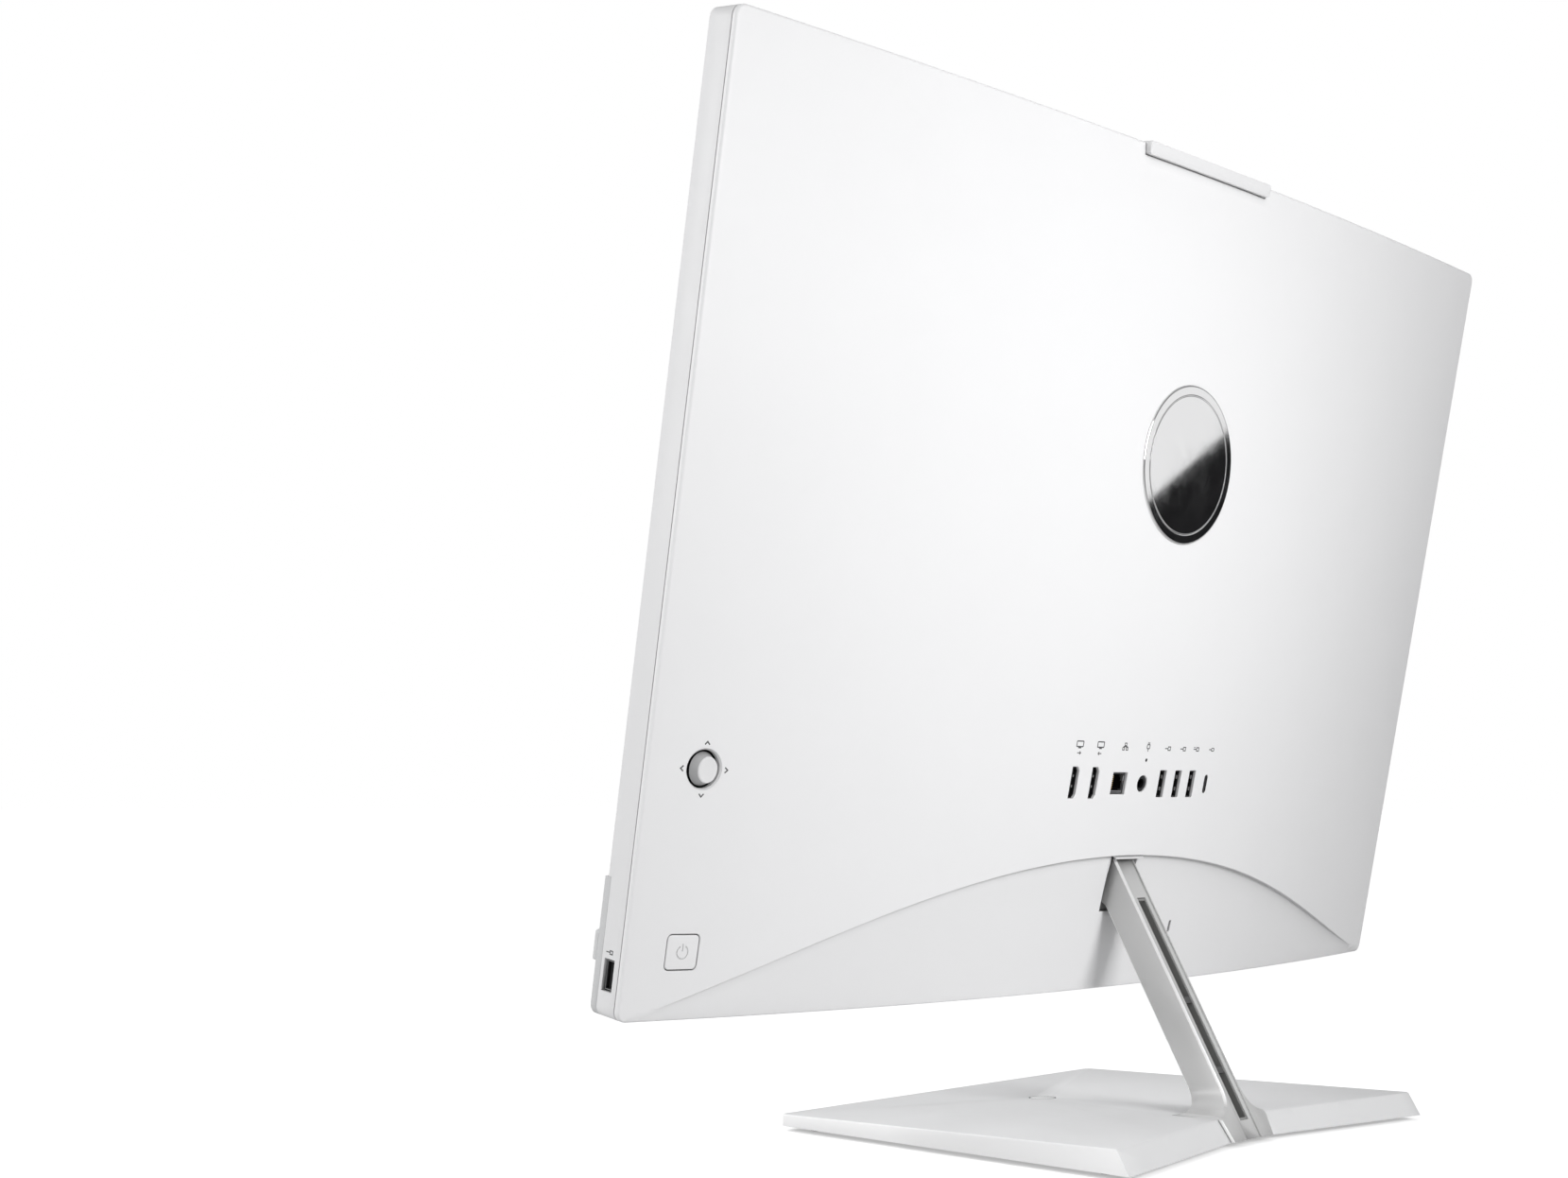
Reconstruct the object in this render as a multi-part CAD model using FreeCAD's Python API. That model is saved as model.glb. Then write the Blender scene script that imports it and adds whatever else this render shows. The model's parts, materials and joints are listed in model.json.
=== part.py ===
import FreeCAD, Part
import math
import os
from FreeCAD import Vector as V

# 27-inch class all-in-one PC: display head on a slanted neck and a wedge base.
# Millimetres.  +X is to the user's right, +Y to the rear, +Z up.  The origin is
# the centre of the base outline on the desk.  The screen faces -Y.
# Head pieces are drawn upright in head coordinates (u, w, v) and then placed:
# u along X, w to the rear from the front plane, v up the display from its
# bottom edge.

# Display head
HEAD_W = 612.6          # width over the side frame
HALF_W = HEAD_W / 2
HEAD_H = 400.7          # height along the display
HEAD_TILT = 9.833       # lean back from vertical, degrees
HEAD_Y0 = -41.74        # front plane, bottom edge, y
HEAD_Z0 = 72.76         # front plane, bottom edge, z
CORNER_R = 5.0
EDGE_T = 14.7           # thickness of the thin edge
WALL = 2.2              # moulded wall
SEAM_W = 12.8           # seam between side frame and rear cover

# Rear surface: a dome, cut off low down by a sloping facet
DOME_A = 31.8           # dome rise above the edge at its highest line
DOME_B = 0.0002926      # curvature of the dome up the display
DOME_V0 = 159.6         # height of the dome's highest line
FACET_A = 19.0          # rise of the lower facet at the bottom edge
FACET_S0 = 0.149        # facet slope at the centre
FACET_S1 = 0.030        # loss of slope towards the sides

# Screen: 16:9, 27 inch diagonal
SCREEN_W = 597.7
SCREEN_H = 336.2
CHIN_H = 58.5
SCREEN_V0 = CHIN_H
SCREEN_V1 = CHIN_H + SCREEN_H

# Layers inside the head
CHASSIS_W0, CHASSIS_W1 = 10.6, 11.8
BOARD_W0, BOARD_W1 = 22.0, 23.6
ON_BOARD = BOARD_W1 + 0.05      # where parts on the mainboard start
KEY_BOARD_W0 = CHASSIS_W1 + 0.05
KEY_BOARD_W1 = KEY_BOARD_W0 + 1.0

# Tilt hinge (head coordinates)
HINGE_V = 42.7
HINGE_W = 29.0
SHAFT_R = 4.0
RUN_GAP = 0.06
LUG_R = 7.6

# Neck: faces are lines y = k * z + c
NECK_HALF = 8.25
REAR_K, REAR_C = -0.560, 84.75
FRONT_K, FRONT_C = -0.554, 65.33
SLOT_HALF = 3.5
GROOVE_HALF = 6.5

# Base
BASE_HALF = 129.6
BASE_Y0 = -100.9
BASE_Z0 = 2.0
BASE_TOP0 = 7.76        # top height at the front edge
BASE_RISE = 0.0279      # top slope

# Openings and connectors (head coordinates)
PORT_V = 106.0
HDMI_U = (56.5, 41.0)
USB_U = (-16.0, -29.8, -43.2)
LAN_U, DC_U, USBC_U = 20.7, 1.1, -57.2
LED_V = 117.7
LOCK_U, LOCK_V = -56.5, 30.6
BUTTON_U, BUTTON_V = 278.2, 29.5
BUTTON_HALF_U, BUTTON_HALF_V, BUTTON_R = 8.25, 7.8, 2.4
JOY_U, JOY_V, JOY_HOLE_R = 279.0, 106.1, 8.0
SIDE_USB_V, SIDE_USB_W = 18.3, 6.4
CAMERA_HALF, CAMERA_V0 = 52.0, 395.3
EMBLEM_V, EMBLEM_R = 260.2, 37.5

# Fixings shared by several pieces, as (u, v) in the head and (x, y) in the base
COVER_BOSSES = [(-260, 60), (260, 150), (-260, 330), (260, 330), (-120, 300), (120, 300)]
STANDOFFS = [(-112, 96), (105, 96), (-112, 244), (105, 244), (0, 170)]
BRACKET_SCREWS = [(-54, 26), (54, 26), (-54, 76), (54, 76)]
NECK_SCREWS = [(-12.5, 70.0), (12.5, 70.0)]
BASE_SCREWS = [(-112, -60), (112, -60), (-112, 50), (112, 50), (-45, -70), (45, -70)]
FEET = [(-112, -86), (112, -86), (-112, 82), (112, 82)]

SIDES = (-1, 1)
TILT = math.radians(HEAD_TILT)
HEAD_MATRIX = FreeCAD.Placement(
    V(0, HEAD_Y0, HEAD_Z0), FreeCAD.Rotation(V(1, 0, 0), -HEAD_TILT)).toMatrix()


# ---------------------------------------------------------------------------
# Shape helpers
# ---------------------------------------------------------------------------
def box(x0, x1, y0, y1, z0, z1):
    return Part.makeBox(x1 - x0, y1 - y0, z1 - z0, V(x0, y0, z0))


def head_box(u0, u1, v0, v1, w0, w1):
    return box(u0, u1, w0, w1, v0, v1)


def block(u, v, half_u, half_v, w0, w1):
    """Head box centred on (u, v)."""
    return head_box(u - half_u, u + half_u, v - half_v, v + half_v, w0, w1)


def board_box(u0, u1, v0, v1, low, high):
    """Head box between two heights above the mainboard's rear face."""
    return head_box(u0, u1, v0, v1, BOARD_W1 + low, BOARD_W1 + high)


def screen_box(margin, w0, w1):
    """Head box over the active area, grown by a margin."""
    return head_box(-SCREEN_W / 2 - margin, SCREEN_W / 2 + margin,
                    SCREEN_V0 - margin, SCREEN_V1 + margin, w0, w1)


def rounded_plate(u0, u1, v0, v1, r, w0, w1):
    """Plate with a rounded rectangle outline in the u-v plane."""
    k = r * (1 - math.sqrt(0.5))

    def line(a, b):
        return Part.makeLine(V(a[0], 0, a[1]), V(b[0], 0, b[1]))

    def arc(a, b, c):
        return Part.Arc(*[V(u, 0, v) for u, v in (a, b, c)]).toShape()

    outline = Part.Wire([
        line((u0 + r, v0), (u1 - r, v0)),
        arc((u1 - r, v0), (u1 - k, v0 + k), (u1, v0 + r)),
        line((u1, v0 + r), (u1, v1 - r)),
        arc((u1, v1 - r), (u1 - k, v1 - k), (u1 - r, v1)),
        line((u1 - r, v1), (u0 + r, v1)),
        arc((u0 + r, v1), (u0 + k, v1 - k), (u0, v1 - r)),
        line((u0, v1 - r), (u0, v0 + r)),
        arc((u0, v0 + r), (u0 + k, v0 + k), (u0 + r, v0))])
    face = Part.Face(outline)
    face.translate(V(0, w0, 0))
    return face.extrude(V(0, w1 - w0, 0))


def rounded_block(u, v, half_u, half_v, r, w0, w1):
    """Rounded plate centred on (u, v)."""
    return rounded_plate(u - half_u, u + half_u, v - half_v, v + half_v, r, w0, w1)


def head_plate(inset, r, w0, w1):
    """Rounded plate following the head outline at an inset."""
    return rounded_plate(-HALF_W + inset, HALF_W - inset, inset, HEAD_H - inset, r, w0, w1)


def rod_w(u, v, w0, w1, r):
    """Cylinder along w."""
    return Part.makeCylinder(r, w1 - w0, V(u, w0, v), V(0, 1, 0))


def cone_w(u, v, w0, w1, r0, r1):
    return Part.makeCone(r0, r1, w1 - w0, V(u, w0, v), V(0, 1, 0))


def rod_u(u, v, w, half, r):
    """Cylinder along u, centred on (u, v, w)."""
    return Part.makeCylinder(r, 2 * half, V(u - half, w, v), V(1, 0, 0))


def rod_z(x, y, z0, z1, r):
    """Cylinder along z, which is v when drawn in head coordinates."""
    return Part.makeCylinder(r, z1 - z0, V(x, y, z0), V(0, 0, 1))


def hinge_rod(u, half, r):
    """Cylinder on the hinge axis."""
    return rod_u(u, HINGE_V, HINGE_W, half, r)


def prism(points, direction):
    """Prism from a closed 3-D polygon and an extrusion vector."""
    wire = Part.makePolygon([V(*p) for p in points] + [V(*points[0])])
    return Part.Face(wire).extrude(V(*direction))


def fuse(first, *others):
    for other in others:
        first = first.fuse(other)
    return first.removeSplitter()


def cut_all(shape, tools):
    """Cut all tools in one operation."""
    return shape.cut(Part.makeCompound(tools))


def export(node, shapes, in_head):
    """Write one STEP file: a single solid, or a group of separate solids."""
    if not isinstance(shapes, list):
        shapes = [shapes]
    solids = [solid for shape in shapes for solid in shape.Solids]
    if in_head:
        solids = [solid.transformed(HEAD_MATRIX) for solid in solids]
    for solid in solids:
        if not solid.isValid():
            solid.fix(0.001, 0.001, 0.001)
    result = solids[0] if len(solids) == 1 else Part.makeCompound(solids)
    result.exportStep("parts/%s.step" % node)


# ---------------------------------------------------------------------------
# Rear surface of the head
# ---------------------------------------------------------------------------
def side_share(u):
    """0 at the centre line, 1 at the sides."""
    return (2 * u / HEAD_W) ** 2


def dome_rise(v):
    return DOME_A - DOME_B * (v - DOME_V0) ** 2


def dome_w(share, rise):
    return EDGE_T + rise * (1 - share)


def facet_w(share, v):
    return EDGE_T + FACET_A * (1 - share) + (FACET_S0 - FACET_S1 * share) * v


def dome(u, v):
    return dome_w(side_share(u), dome_rise(v))


def facet(u, v):
    return facet_w(side_share(u), v)


def cover_w(u, v):
    """w of the cover's outer surface."""
    return min(dome(u, v), facet(u, v))


# Extent of the surfaces, a little beyond the head on every side
SURFACE_U = (-330.0, 0.0, 330.0)
SURFACE_V = (-20.0, 205.0, 430.0)


def bezier_poles(quadratic, stations):
    """Three Bezier poles that reproduce a quadratic over start, middle, end."""
    start, middle, end = [quadratic(s) for s in stations]
    return [start, 2 * middle - (start + end) / 2, end]


def in_front_of(pole_w, column_values, drop):
    """Solid in front of a surface lowered by drop; pole_w gives each pole's w."""
    surface = Part.BezierSurface()
    surface.increase(2, 2)
    for i, share in enumerate(bezier_poles(side_share, SURFACE_U)):
        for j, value in enumerate(column_values):
            pole = V(SURFACE_U[i], pole_w(share, value) - drop, SURFACE_V[j])
            surface.setPole(i + 1, j + 1, pole)
    return surface.toShape().extrude(V(0, -90.0, 0))


def below_dome(drop):
    return in_front_of(dome_w, bezier_poles(dome_rise, SURFACE_V), drop)


def below_facet(drop):
    return in_front_of(facet_w, SURFACE_V, drop)


# Emblem axis: square to the dome at the emblem's centre
EMBLEM_SLOPE = math.atan(2 * DOME_B * (EMBLEM_V - DOME_V0))
EMBLEM_AXIS = V(0, math.cos(EMBLEM_SLOPE), math.sin(EMBLEM_SLOPE))
EMBLEM_CENTRE = V(0, dome(0, EMBLEM_V), EMBLEM_V)


def emblem_rod(low, high, r):
    """Cylinder on the emblem axis, heights from the dome surface."""
    return Part.makeCylinder(r, high - low, EMBLEM_CENTRE + EMBLEM_AXIS * low, EMBLEM_AXIS)


# ---------------------------------------------------------------------------
# Rear cover
# ---------------------------------------------------------------------------
NECK_OPENING_HALF = 11.2
NECK_OPENING_V0 = 41.0
JOY_SURFACE_W = cover_w(JOY_U, JOY_V)


def hdmi_prism(u, grow, w0, w1):
    """Upright HDMI-shaped prism: long side along v, chamfers towards -u."""
    half_u, half_v, chamfer = 2.7 + grow, 7.65 + grow, 1.9
    outline = [(half_u, -half_v), (half_u, half_v),
               (-half_u + chamfer * 0.7, half_v), (-half_u, half_v - chamfer),
               (-half_u, -half_v + chamfer), (-half_u + chamfer * 0.7, -half_v)]
    return prism([(u + du, w0, PORT_V + dv) for du, dv in outline], (0, w1 - w0, 0))


def cover_openings():
    half = NECK_OPENING_HALF
    # neck opening in the lower facet, up to the crease
    tools = [head_box(-half, half, NECK_OPENING_V0, 67.0, 24, 60),
             head_box(-half, half, 66.0, 69.4, 24, 43.9)]
    # rear connectors
    tools += [hdmi_prism(u, 0, 30, 60) for u in HDMI_U]
    tools += [rounded_block(u, PORT_V, 3.0, 6.8, 0.5, 30, 60) for u in USB_U]
    tools += [
        block(LAN_U, PORT_V, 5.9, 5.4, 30, 60),
        rod_w(DC_U, PORT_V, 30, 60, 4.1),
        rod_w(DC_U, LED_V, 30, 60, 0.85),
        rounded_block(USBC_U, PORT_V, 1.6, 4.7, 1.55, 30, 60),
        # joystick well with a small lead-in
        rod_w(JOY_U, JOY_V, 10, 60, JOY_HOLE_R),
        cone_w(JOY_U, JOY_V, JOY_SURFACE_W - 0.9, JOY_SURFACE_W + 3.1,
               JOY_HOLE_R - 0.1, JOY_HOLE_R + 2.6),
        # power button
        rounded_block(BUTTON_U, BUTTON_V, BUTTON_HALF_U, BUTTON_HALF_V, BUTTON_R, 10, 60),
        # security lock slot
        rounded_block(LOCK_U, LOCK_V, 1.1, 3.0, 0.6, 20, 60),
        # camera notch in the top edge
        head_box(-CAMERA_HALF - 0.5, CAMERA_HALF + 0.5, CAMERA_V0 - 0.4, 420, 15.0, 60)]
    return tools


def air_slots():
    """Intake along the bottom wall, exhaust along part of the top wall."""
    slots = []
    for i in range(34):
        u = -132.0 + 8.0 * i
        if abs(u) > 24:
            slots.append(head_box(u - 1.6, u + 1.6, -2, WALL + 1, 17.5, 26.5))
    for i in range(38):
        u = -238.0 + 6.0 * i
        if u < -62:
            slots.append(head_box(u - 1.2, u + 1.2, HEAD_H - WALL - 1, HEAD_H + 2, 15.6, 19.4))
    return slots


def rear_cover():
    cover = head_plate(0, CORNER_R, SEAM_W, 70)
    cover = cover.common(below_dome(0)).common(below_facet(0))
    hollow = head_plate(WALL, CORNER_R - 1.5, 5, 70)
    hollow = hollow.common(below_dome(WALL)).common(below_facet(WALL))
    cover = cover.cut(hollow)
    for opening in cover_openings():
        cover = cover.cut(opening)
    cover = cut_all(cover, air_slots())
    # blind seat for the emblem disc, backed by a thicker pad
    cover = cover.fuse(emblem_rod(-3.4, -1.2, EMBLEM_R + 2.0))
    cover = cover.cut(emblem_rod(-1.2, 8, EMBLEM_R + 0.15))
    for u, v in COVER_BOSSES:
        boss = rod_w(u, v, CHASSIS_W1 + 0.1, cover_w(u, v) - WALL + 0.9, 3.2)
        cover = cover.fuse(boss.cut(rod_w(u, v, 5, CHASSIS_W1 + 7.5, 1.5)))
    return cover.removeSplitter()


# ---------------------------------------------------------------------------
# Side frame, front bezel, chin
# ---------------------------------------------------------------------------
RIM_T = 0.8             # thin frame wall around the bezel
BEZEL_INSET = 0.95
BEZEL_W1 = 1.5


def chin_zone(gap):
    """Everything in the front layers up to a gap below the chin line."""
    return head_box(-HALF_W - 1, HALF_W + 1, -1, CHIN_H - gap, -3, 3)


def side_frame():
    frame = head_plate(0, CORNER_R, 1.6, SEAM_W - 0.15)
    frame = frame.cut(head_plate(WALL, CORNER_R - 1.5, 0, 20))
    # thin wall that runs forward past the bezel on three sides, above the chin
    rim = head_plate(0, CORNER_R, 0.0, 1.7).cut(head_plate(RIM_T, CORNER_R - RIM_T, -1, 3))
    frame = frame.fuse(rim.cut(chin_zone(0.05)))
    # rebate under the rear edge gives the seam its thin shadow
    rebate = head_plate(-5, CORNER_R + 5, SEAM_W - 0.55, 14)
    frame = frame.cut(rebate.cut(head_plate(0.45, CORNER_R - 0.45, 0, 20)))
    # ledge that carries the chassis plate
    ledge = head_plate(WALL - 0.2, CORNER_R - 1.6, 9.3, 10.5)
    frame = fuse(frame, ledge.cut(head_plate(8, 2, 0, 20)))
    # side USB opening, then room for the connector in the wall and the ledge
    frame = frame.cut(head_box(HALF_W - 4, HALF_W + 1, SIDE_USB_V - 6.8, SIDE_USB_V + 6.8,
                               SIDE_USB_W - 3.05, SIDE_USB_W + 3.05))
    frame = frame.cut(head_box(HALF_W - 9, HALF_W - WALL + 0.05,
                               SIDE_USB_V - 8.6, SIDE_USB_V + 8.6, 9.2, 9.7))
    return frame.cut(head_box(HALF_W - 26, HALF_W - WALL,
                              SIDE_USB_V - 9.5, SIDE_USB_V + 9.5, 9.0, 12))


def front_bezel():
    bezel = head_plate(BEZEL_INSET, CORNER_R - BEZEL_INSET, 0.0, BEZEL_W1)
    bezel = bezel.cut(chin_zone(0.05)).cut(screen_box(0, -1, 3))
    # inner lip that holds the panel
    lip = head_box(-SCREEN_W / 2 - 3.4, SCREEN_W / 2 + 3.4,
                   SCREEN_V0 - 2.8, SCREEN_V1 + 2.6, 1.4, 3.6)
    return fuse(bezel, lip.cut(screen_box(1.2, 1.0, 4)))


def chin_panel():
    chin = head_plate(0, CORNER_R, -2.0, BEZEL_W1).common(chin_zone(0.15))
    # step at the back of the chin's top edge for the bezel lip
    chin = chin.cut(head_box(-SCREEN_W / 2 - 3.6, SCREEN_W / 2 + 3.6,
                             SCREEN_V0 - 3.0, SCREEN_V0 + 3, 1.3, 3))
    speaker_slots = [rounded_block(side * (150 + 9.0 * i), 10.0, 3.2, 2.0, 1.9, -3, 3)
                     for side in SIDES for i in range(12)]
    return cut_all(chin, speaker_slots)


def chin_rail():
    return rounded_plate(-HALF_W, HALF_W, 22.7, 35.5, 1.2, -4.0, -2.05)


# ---------------------------------------------------------------------------
# Display stack and chassis
# ---------------------------------------------------------------------------
# u0, u1, v0, v1, corner radius
CHASSIS_HOLES = [(-282, -226, 90, 150, 5), (140, 250, 250, 330, 6),
                 (-100, -20, 290, 340, 6), (20, 100, 290, 340, 6)]


def lcd_panel():
    return screen_box(1.0, 1.55, 3.3)


def backlight_unit():
    return screen_box(1.0, 3.7, 6.4)


def panel_tray():
    tray = screen_box(2.0, 4.2, 7.6).cut(screen_box(1.1, 3, 6.5))
    for i in range(5):
        u0 = -270 + i * 112.0
        tray = tray.cut(rounded_plate(u0, u0 + 90, 110, 340, 8, 6.4, 8))
    return tray


def chassis_plate():
    """Plate with lightening holes, stiffening ribs and mainboard standoffs."""
    plate = rounded_plate(-292, 292, 10, 390, 6, CHASSIS_W0, CHASSIS_W1)
    holes = [rounded_plate(*hole, 0, 20) for hole in CHASSIS_HOLES]
    holes += [rod_w(u, v, 0, 30, 1.7) for u, v in COVER_BOSSES]
    root_w = CHASSIS_W1 - 0.2
    ribs = [head_box(-240, 135, v - 1.0, v + 1.0, root_w, CHASSIS_W1 + 2.4)
            for v in (270.0, 352.0)]
    standoffs = [rod_w(u, v, root_w, BOARD_W0 - 0.05, 3.0).cut(
        rod_w(u, v, BOARD_W0 - 8, BOARD_W0 + 5, 1.25)) for u, v in STANDOFFS]
    return fuse(cut_all(plate, holes), *ribs, *standoffs)


# ---------------------------------------------------------------------------
# Tilt hinge: shaft, washers and nuts are drawn on the hinge axis
# ---------------------------------------------------------------------------
LUG_U = 16.0
LUG_HALF = 2.0
NUT_U, NUT_HALF, NUT_R = 24.6, 2.0, 6.3


def hinge_bracket():
    root_w = CHASSIS_W1 + 2.5
    bracket = rounded_plate(-62, 62, 18, 84, 5, CHASSIS_W1 + 0.05, CHASSIS_W1 + 2.6)
    bracket = bracket.cut(rounded_plate(-9.5, 9.5, 26, 66, 3, 0, 30))
    for side in SIDES:
        u = side * LUG_U
        lug = fuse(block(u, HINGE_V, LUG_HALF, 12, root_w, HINGE_W),
                   hinge_rod(u, LUG_HALF, LUG_R))
        lug = lug.common(head_box(-70, 70, 0, 90, 0, HINGE_W + LUG_R))
        lug = lug.cut(hinge_rod(u, LUG_HALF + 1, SHAFT_R + RUN_GAP))
        bracket = bracket.fuse(lug)
        # triangular webs outboard of the lug
        near, far = side * (LUG_U + LUG_HALF), side * 50.0
        for v in (HINGE_V + 11, HINGE_V - 13.4):
            web = prism([(near, root_w, v), (far, root_w, v), (near, HINGE_W - 4, v)],
                        (0, 0, 2.4))
            bracket = bracket.fuse(web)
    bracket = cut_all(bracket, [rod_w(u, v, 0, 40, 2.1) for u, v in BRACKET_SCREWS])
    return bracket.removeSplitter()


def bracket_screws():
    return [fuse(rod_w(u, v, CHASSIS_W1 + 2.65, CHASSIS_W1 + 4.6, 3.6),
                 rod_w(u, v, CHASSIS_W1 + 0.1, CHASSIS_W1 + 2.7, 1.9)).cut(
        rod_w(u, v, CHASSIS_W1 + 3.7, 30, 1.2)) for u, v in BRACKET_SCREWS]


def hinge_shaft():
    collars = [hinge_rod(side * 11.0, 2.0, 6.4) for side in SIDES]
    return fuse(hinge_rod(0, 27.5, SHAFT_R), *collars)


def friction_washers():
    washers = []
    for side in SIDES:
        for i in range(4):
            u = side * (18.55 + 1.0 * i)
            washers.append(hinge_rod(u, 0.4, 6.8).cut(hinge_rod(u, 2, SHAFT_R + 0.05)))
    return washers


def hinge_nuts():
    nuts = []
    for side in SIDES:
        u = side * NUT_U
        corners = []
        for i in range(6):
            angle = math.radians(60 * i)
            corners.append((u - NUT_HALF, HINGE_W + NUT_R * math.cos(angle),
                            HINGE_V + NUT_R * math.sin(angle)))
        nut = prism(corners, (2 * NUT_HALF, 0, 0))
        nuts.append(nut.cut(hinge_rod(u, 5, SHAFT_R + 0.05)))
    return nuts


# ---------------------------------------------------------------------------
# Neck (object coordinates)
# ---------------------------------------------------------------------------
FOOT_Z = 2.3            # underside of the neck
FOOT_HALF = 18.0        # half width at the base's underside
FOOT_GAP = 0.15         # clearance of the foot in the base
FLARE_R = 12.0
FLARE_HALF = 20.2       # half width at FLARE_Z
FLARE_Z = 12.4
FLARE_TOP_Z = 25.6      # where the flare leaves the straight sides
TOE_R = 9.0
# tongue outline inside the head, (w, v), from the rear face round to the front
TONGUE = [(39.0, 66.5), (33.0, 63.0), (25.0, 55.0), (21.6, 45.5), (35.3, 46.6)]
REAR_NORMAL = V(0, 1, -REAR_K)
REAR_NORMAL.normalize()


def rear_y(z):
    return REAR_K * z + REAR_C


def front_y(z):
    return FRONT_K * z + FRONT_C


def base_top_z(y):
    return BASE_TOP0 + BASE_RISE * (y - BASE_Y0)


def head_to_yz(w, v):
    return (HEAD_Y0 + v * math.sin(TILT) + w * math.cos(TILT),
            HEAD_Z0 + v * math.cos(TILT) - w * math.sin(TILT))


def face_point(face_y, head_v, z):
    """Point (y, z) of a neck face at a head height, iterated from a first z."""
    for _ in range(30):
        v = (face_y(z) - HEAD_Y0) * math.sin(TILT) + (z - HEAD_Z0) * math.cos(TILT)
        z += head_v - v
    return face_y(z), z


def neck_profile():
    """Side outline (y, z) from the rear of the foot, up and round to the front."""
    base_z = base_top_z(front_y(13.0))
    # concave toe in front, as far as it stays ahead of the front face
    toe = []
    for i in range(9):
        angle = math.radians(-90 + i * 8.0)
        y = front_y(base_z) - TOE_R * 0.72 + TOE_R * math.cos(angle)
        z = base_z + TOE_R + TOE_R * math.sin(angle)
        if y < front_y(z) - 0.05:
            toe.append((y, z))
    above_toe_z = toe[-1][1] + 1.6
    tip_y = toe[0][0] - 1.0
    profile = [(rear_y(FOOT_Z), FOOT_Z), face_point(rear_y, 68.0, 130.0)]
    profile += [head_to_yz(w, v) for w, v in TONGUE]
    profile += [face_point(front_y, 44.9, 110.0), (front_y(above_toe_z), above_toe_z)]
    profile += reversed(toe)
    profile += [(tip_y, base_top_z(tip_y) + 0.06),
                (front_y(base_z) - 0.1, base_top_z(front_y(base_z)) + 0.06),
                (front_y(FOOT_Z), FOOT_Z)]
    return profile


def flare_side(side):
    """One side of the width profile from the top down: edges, top and foot points."""
    def on_arc(degrees):
        angle = math.radians(degrees)
        return V(side * (NECK_HALF + FLARE_R - FLARE_R * math.cos(angle)), -60,
                 FLARE_TOP_Z - FLARE_R * math.sin(angle))

    top = V(side * NECK_HALF, -60, 170)
    start = V(side * NECK_HALF, -60, FLARE_TOP_Z)
    end = on_arc(84)
    wide = V(side * FLARE_HALF, -60, FLARE_Z)
    foot = V(side * FOOT_HALF, -60, BASE_Z0)
    edges = [Part.makeLine(top, start), Part.Arc(start, on_arc(42), end).toShape(),
             Part.makeLine(end, wide), Part.makeLine(wide, foot)]
    return edges, top, foot


def neck_width():
    """Front-to-rear prism of the width profile, flaring into the base."""
    right, right_top, right_foot = flare_side(1)
    left, left_top, left_foot = flare_side(-1)
    edges = right + [Part.makeLine(right_foot, left_foot)]
    edges += left + [Part.makeLine(left_top, right_top)]
    return Part.Face(Part.Wire(Part.__sortEdges__(edges))).extrude(V(0, 200.0, 0))


def runs_along(edge, face_y, min_length):
    """True for a rising edge that lies in a neck face."""
    ends = [vertex.Point for vertex in edge.Vertexes]
    return (all(abs(end.y - face_y(end.z)) < 1e-3 for end in ends) and len(ends) == 2
            and edge.Length > min_length and abs(ends[0].z - ends[1].z) > 1.0)


def rear_slot(half_width, z0, z1, depth):
    """Block square to the slanted rear face, from a depth to outside the neck."""
    low, high = [V(0, rear_y(z), z) - REAR_NORMAL * depth for z in (z0, z1)]
    outward = REAR_NORMAL * 12.0
    corners = [low, high, high + outward, low + outward]
    return prism([(-half_width, p.y, p.z) for p in corners], (2 * half_width, 0, 0))


def rear_skin(depth):
    """Tool that removes everything down to a depth under the rear face."""
    return rear_slot(20, -20, 200, depth)


def neck_arm():
    neck = prism([(-40.0, y, z) for y, z in neck_profile()], (80.0, 0, 0))
    neck = neck.common(neck_width())
    # slender chamfers on the long rear and front edges
    for face_y, size, min_length in ((rear_y, 1.0, 1.5), (front_y, 0.9, 60)):
        edges = [edge for edge in neck.Edges if runs_along(edge, face_y, min_length)]
        # guards the chamfer: if it fails or breaks the solid, the edges stay square
        try:
            chamfered = neck.makeChamfer(size, edges)
            if chamfered.isValid() and chamfered.Volume > 0.5 * neck.Volume:
                neck = chamfered
        except Exception:
            pass
    # barrel that holds the shaft
    neck = neck.fuse(hinge_rod(0, NECK_HALF, 7.4).transformed(HEAD_MATRIX))
    neck = neck.cut(hinge_rod(0, 20, SHAFT_R + 0.02).transformed(HEAD_MATRIX))
    # rear groove and cable slot
    neck = neck.cut(rear_slot(GROOVE_HALF, -6, 170, 0.7))
    neck = neck.cut(rear_slot(SLOT_HALF, 11, 114, 8.0))
    for x, y in NECK_SCREWS:
        neck = neck.cut(rod_z(x, y, 2.0, 10.0, 1.6))
    return neck.removeSplitter()


def cable_channel():
    """Liner in the cable slot."""
    liner = rear_slot(SLOT_HALF - 0.06, 11.25, 113.7, 7.9)
    return liner.cut(rear_slot(SLOT_HALF - 0.7, 12.2, 112.8, 6.9)).cut(rear_skin(1.2))


def cable_clips():
    return [rear_slot(SLOT_HALF - 0.75, z - 1.5, z + 1.5, 2.6).cut(rear_skin(1.3))
            for z in (65.9, 33.8)]


def neck_screws():
    return [rod_z(x, y, 2.35, 9.75, 1.5) for x, y in NECK_SCREWS]


# ---------------------------------------------------------------------------
# Base (object coordinates)
# ---------------------------------------------------------------------------
REAR_CORNER_Y = -BASE_Y0        # rear corners at the underside
REAR_LEAN = (94.5 - REAR_CORNER_Y) / (12.6 - BASE_Z0)   # y per z of the rear wall
CAVITY_INSET = 3.0
COVER_GAP = 0.12
RING_Y, RING_R = -38.0, 6.6
TOP_NORMAL = V(0, -BASE_RISE, 1)
TOP_NORMAL.normalize()


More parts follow.
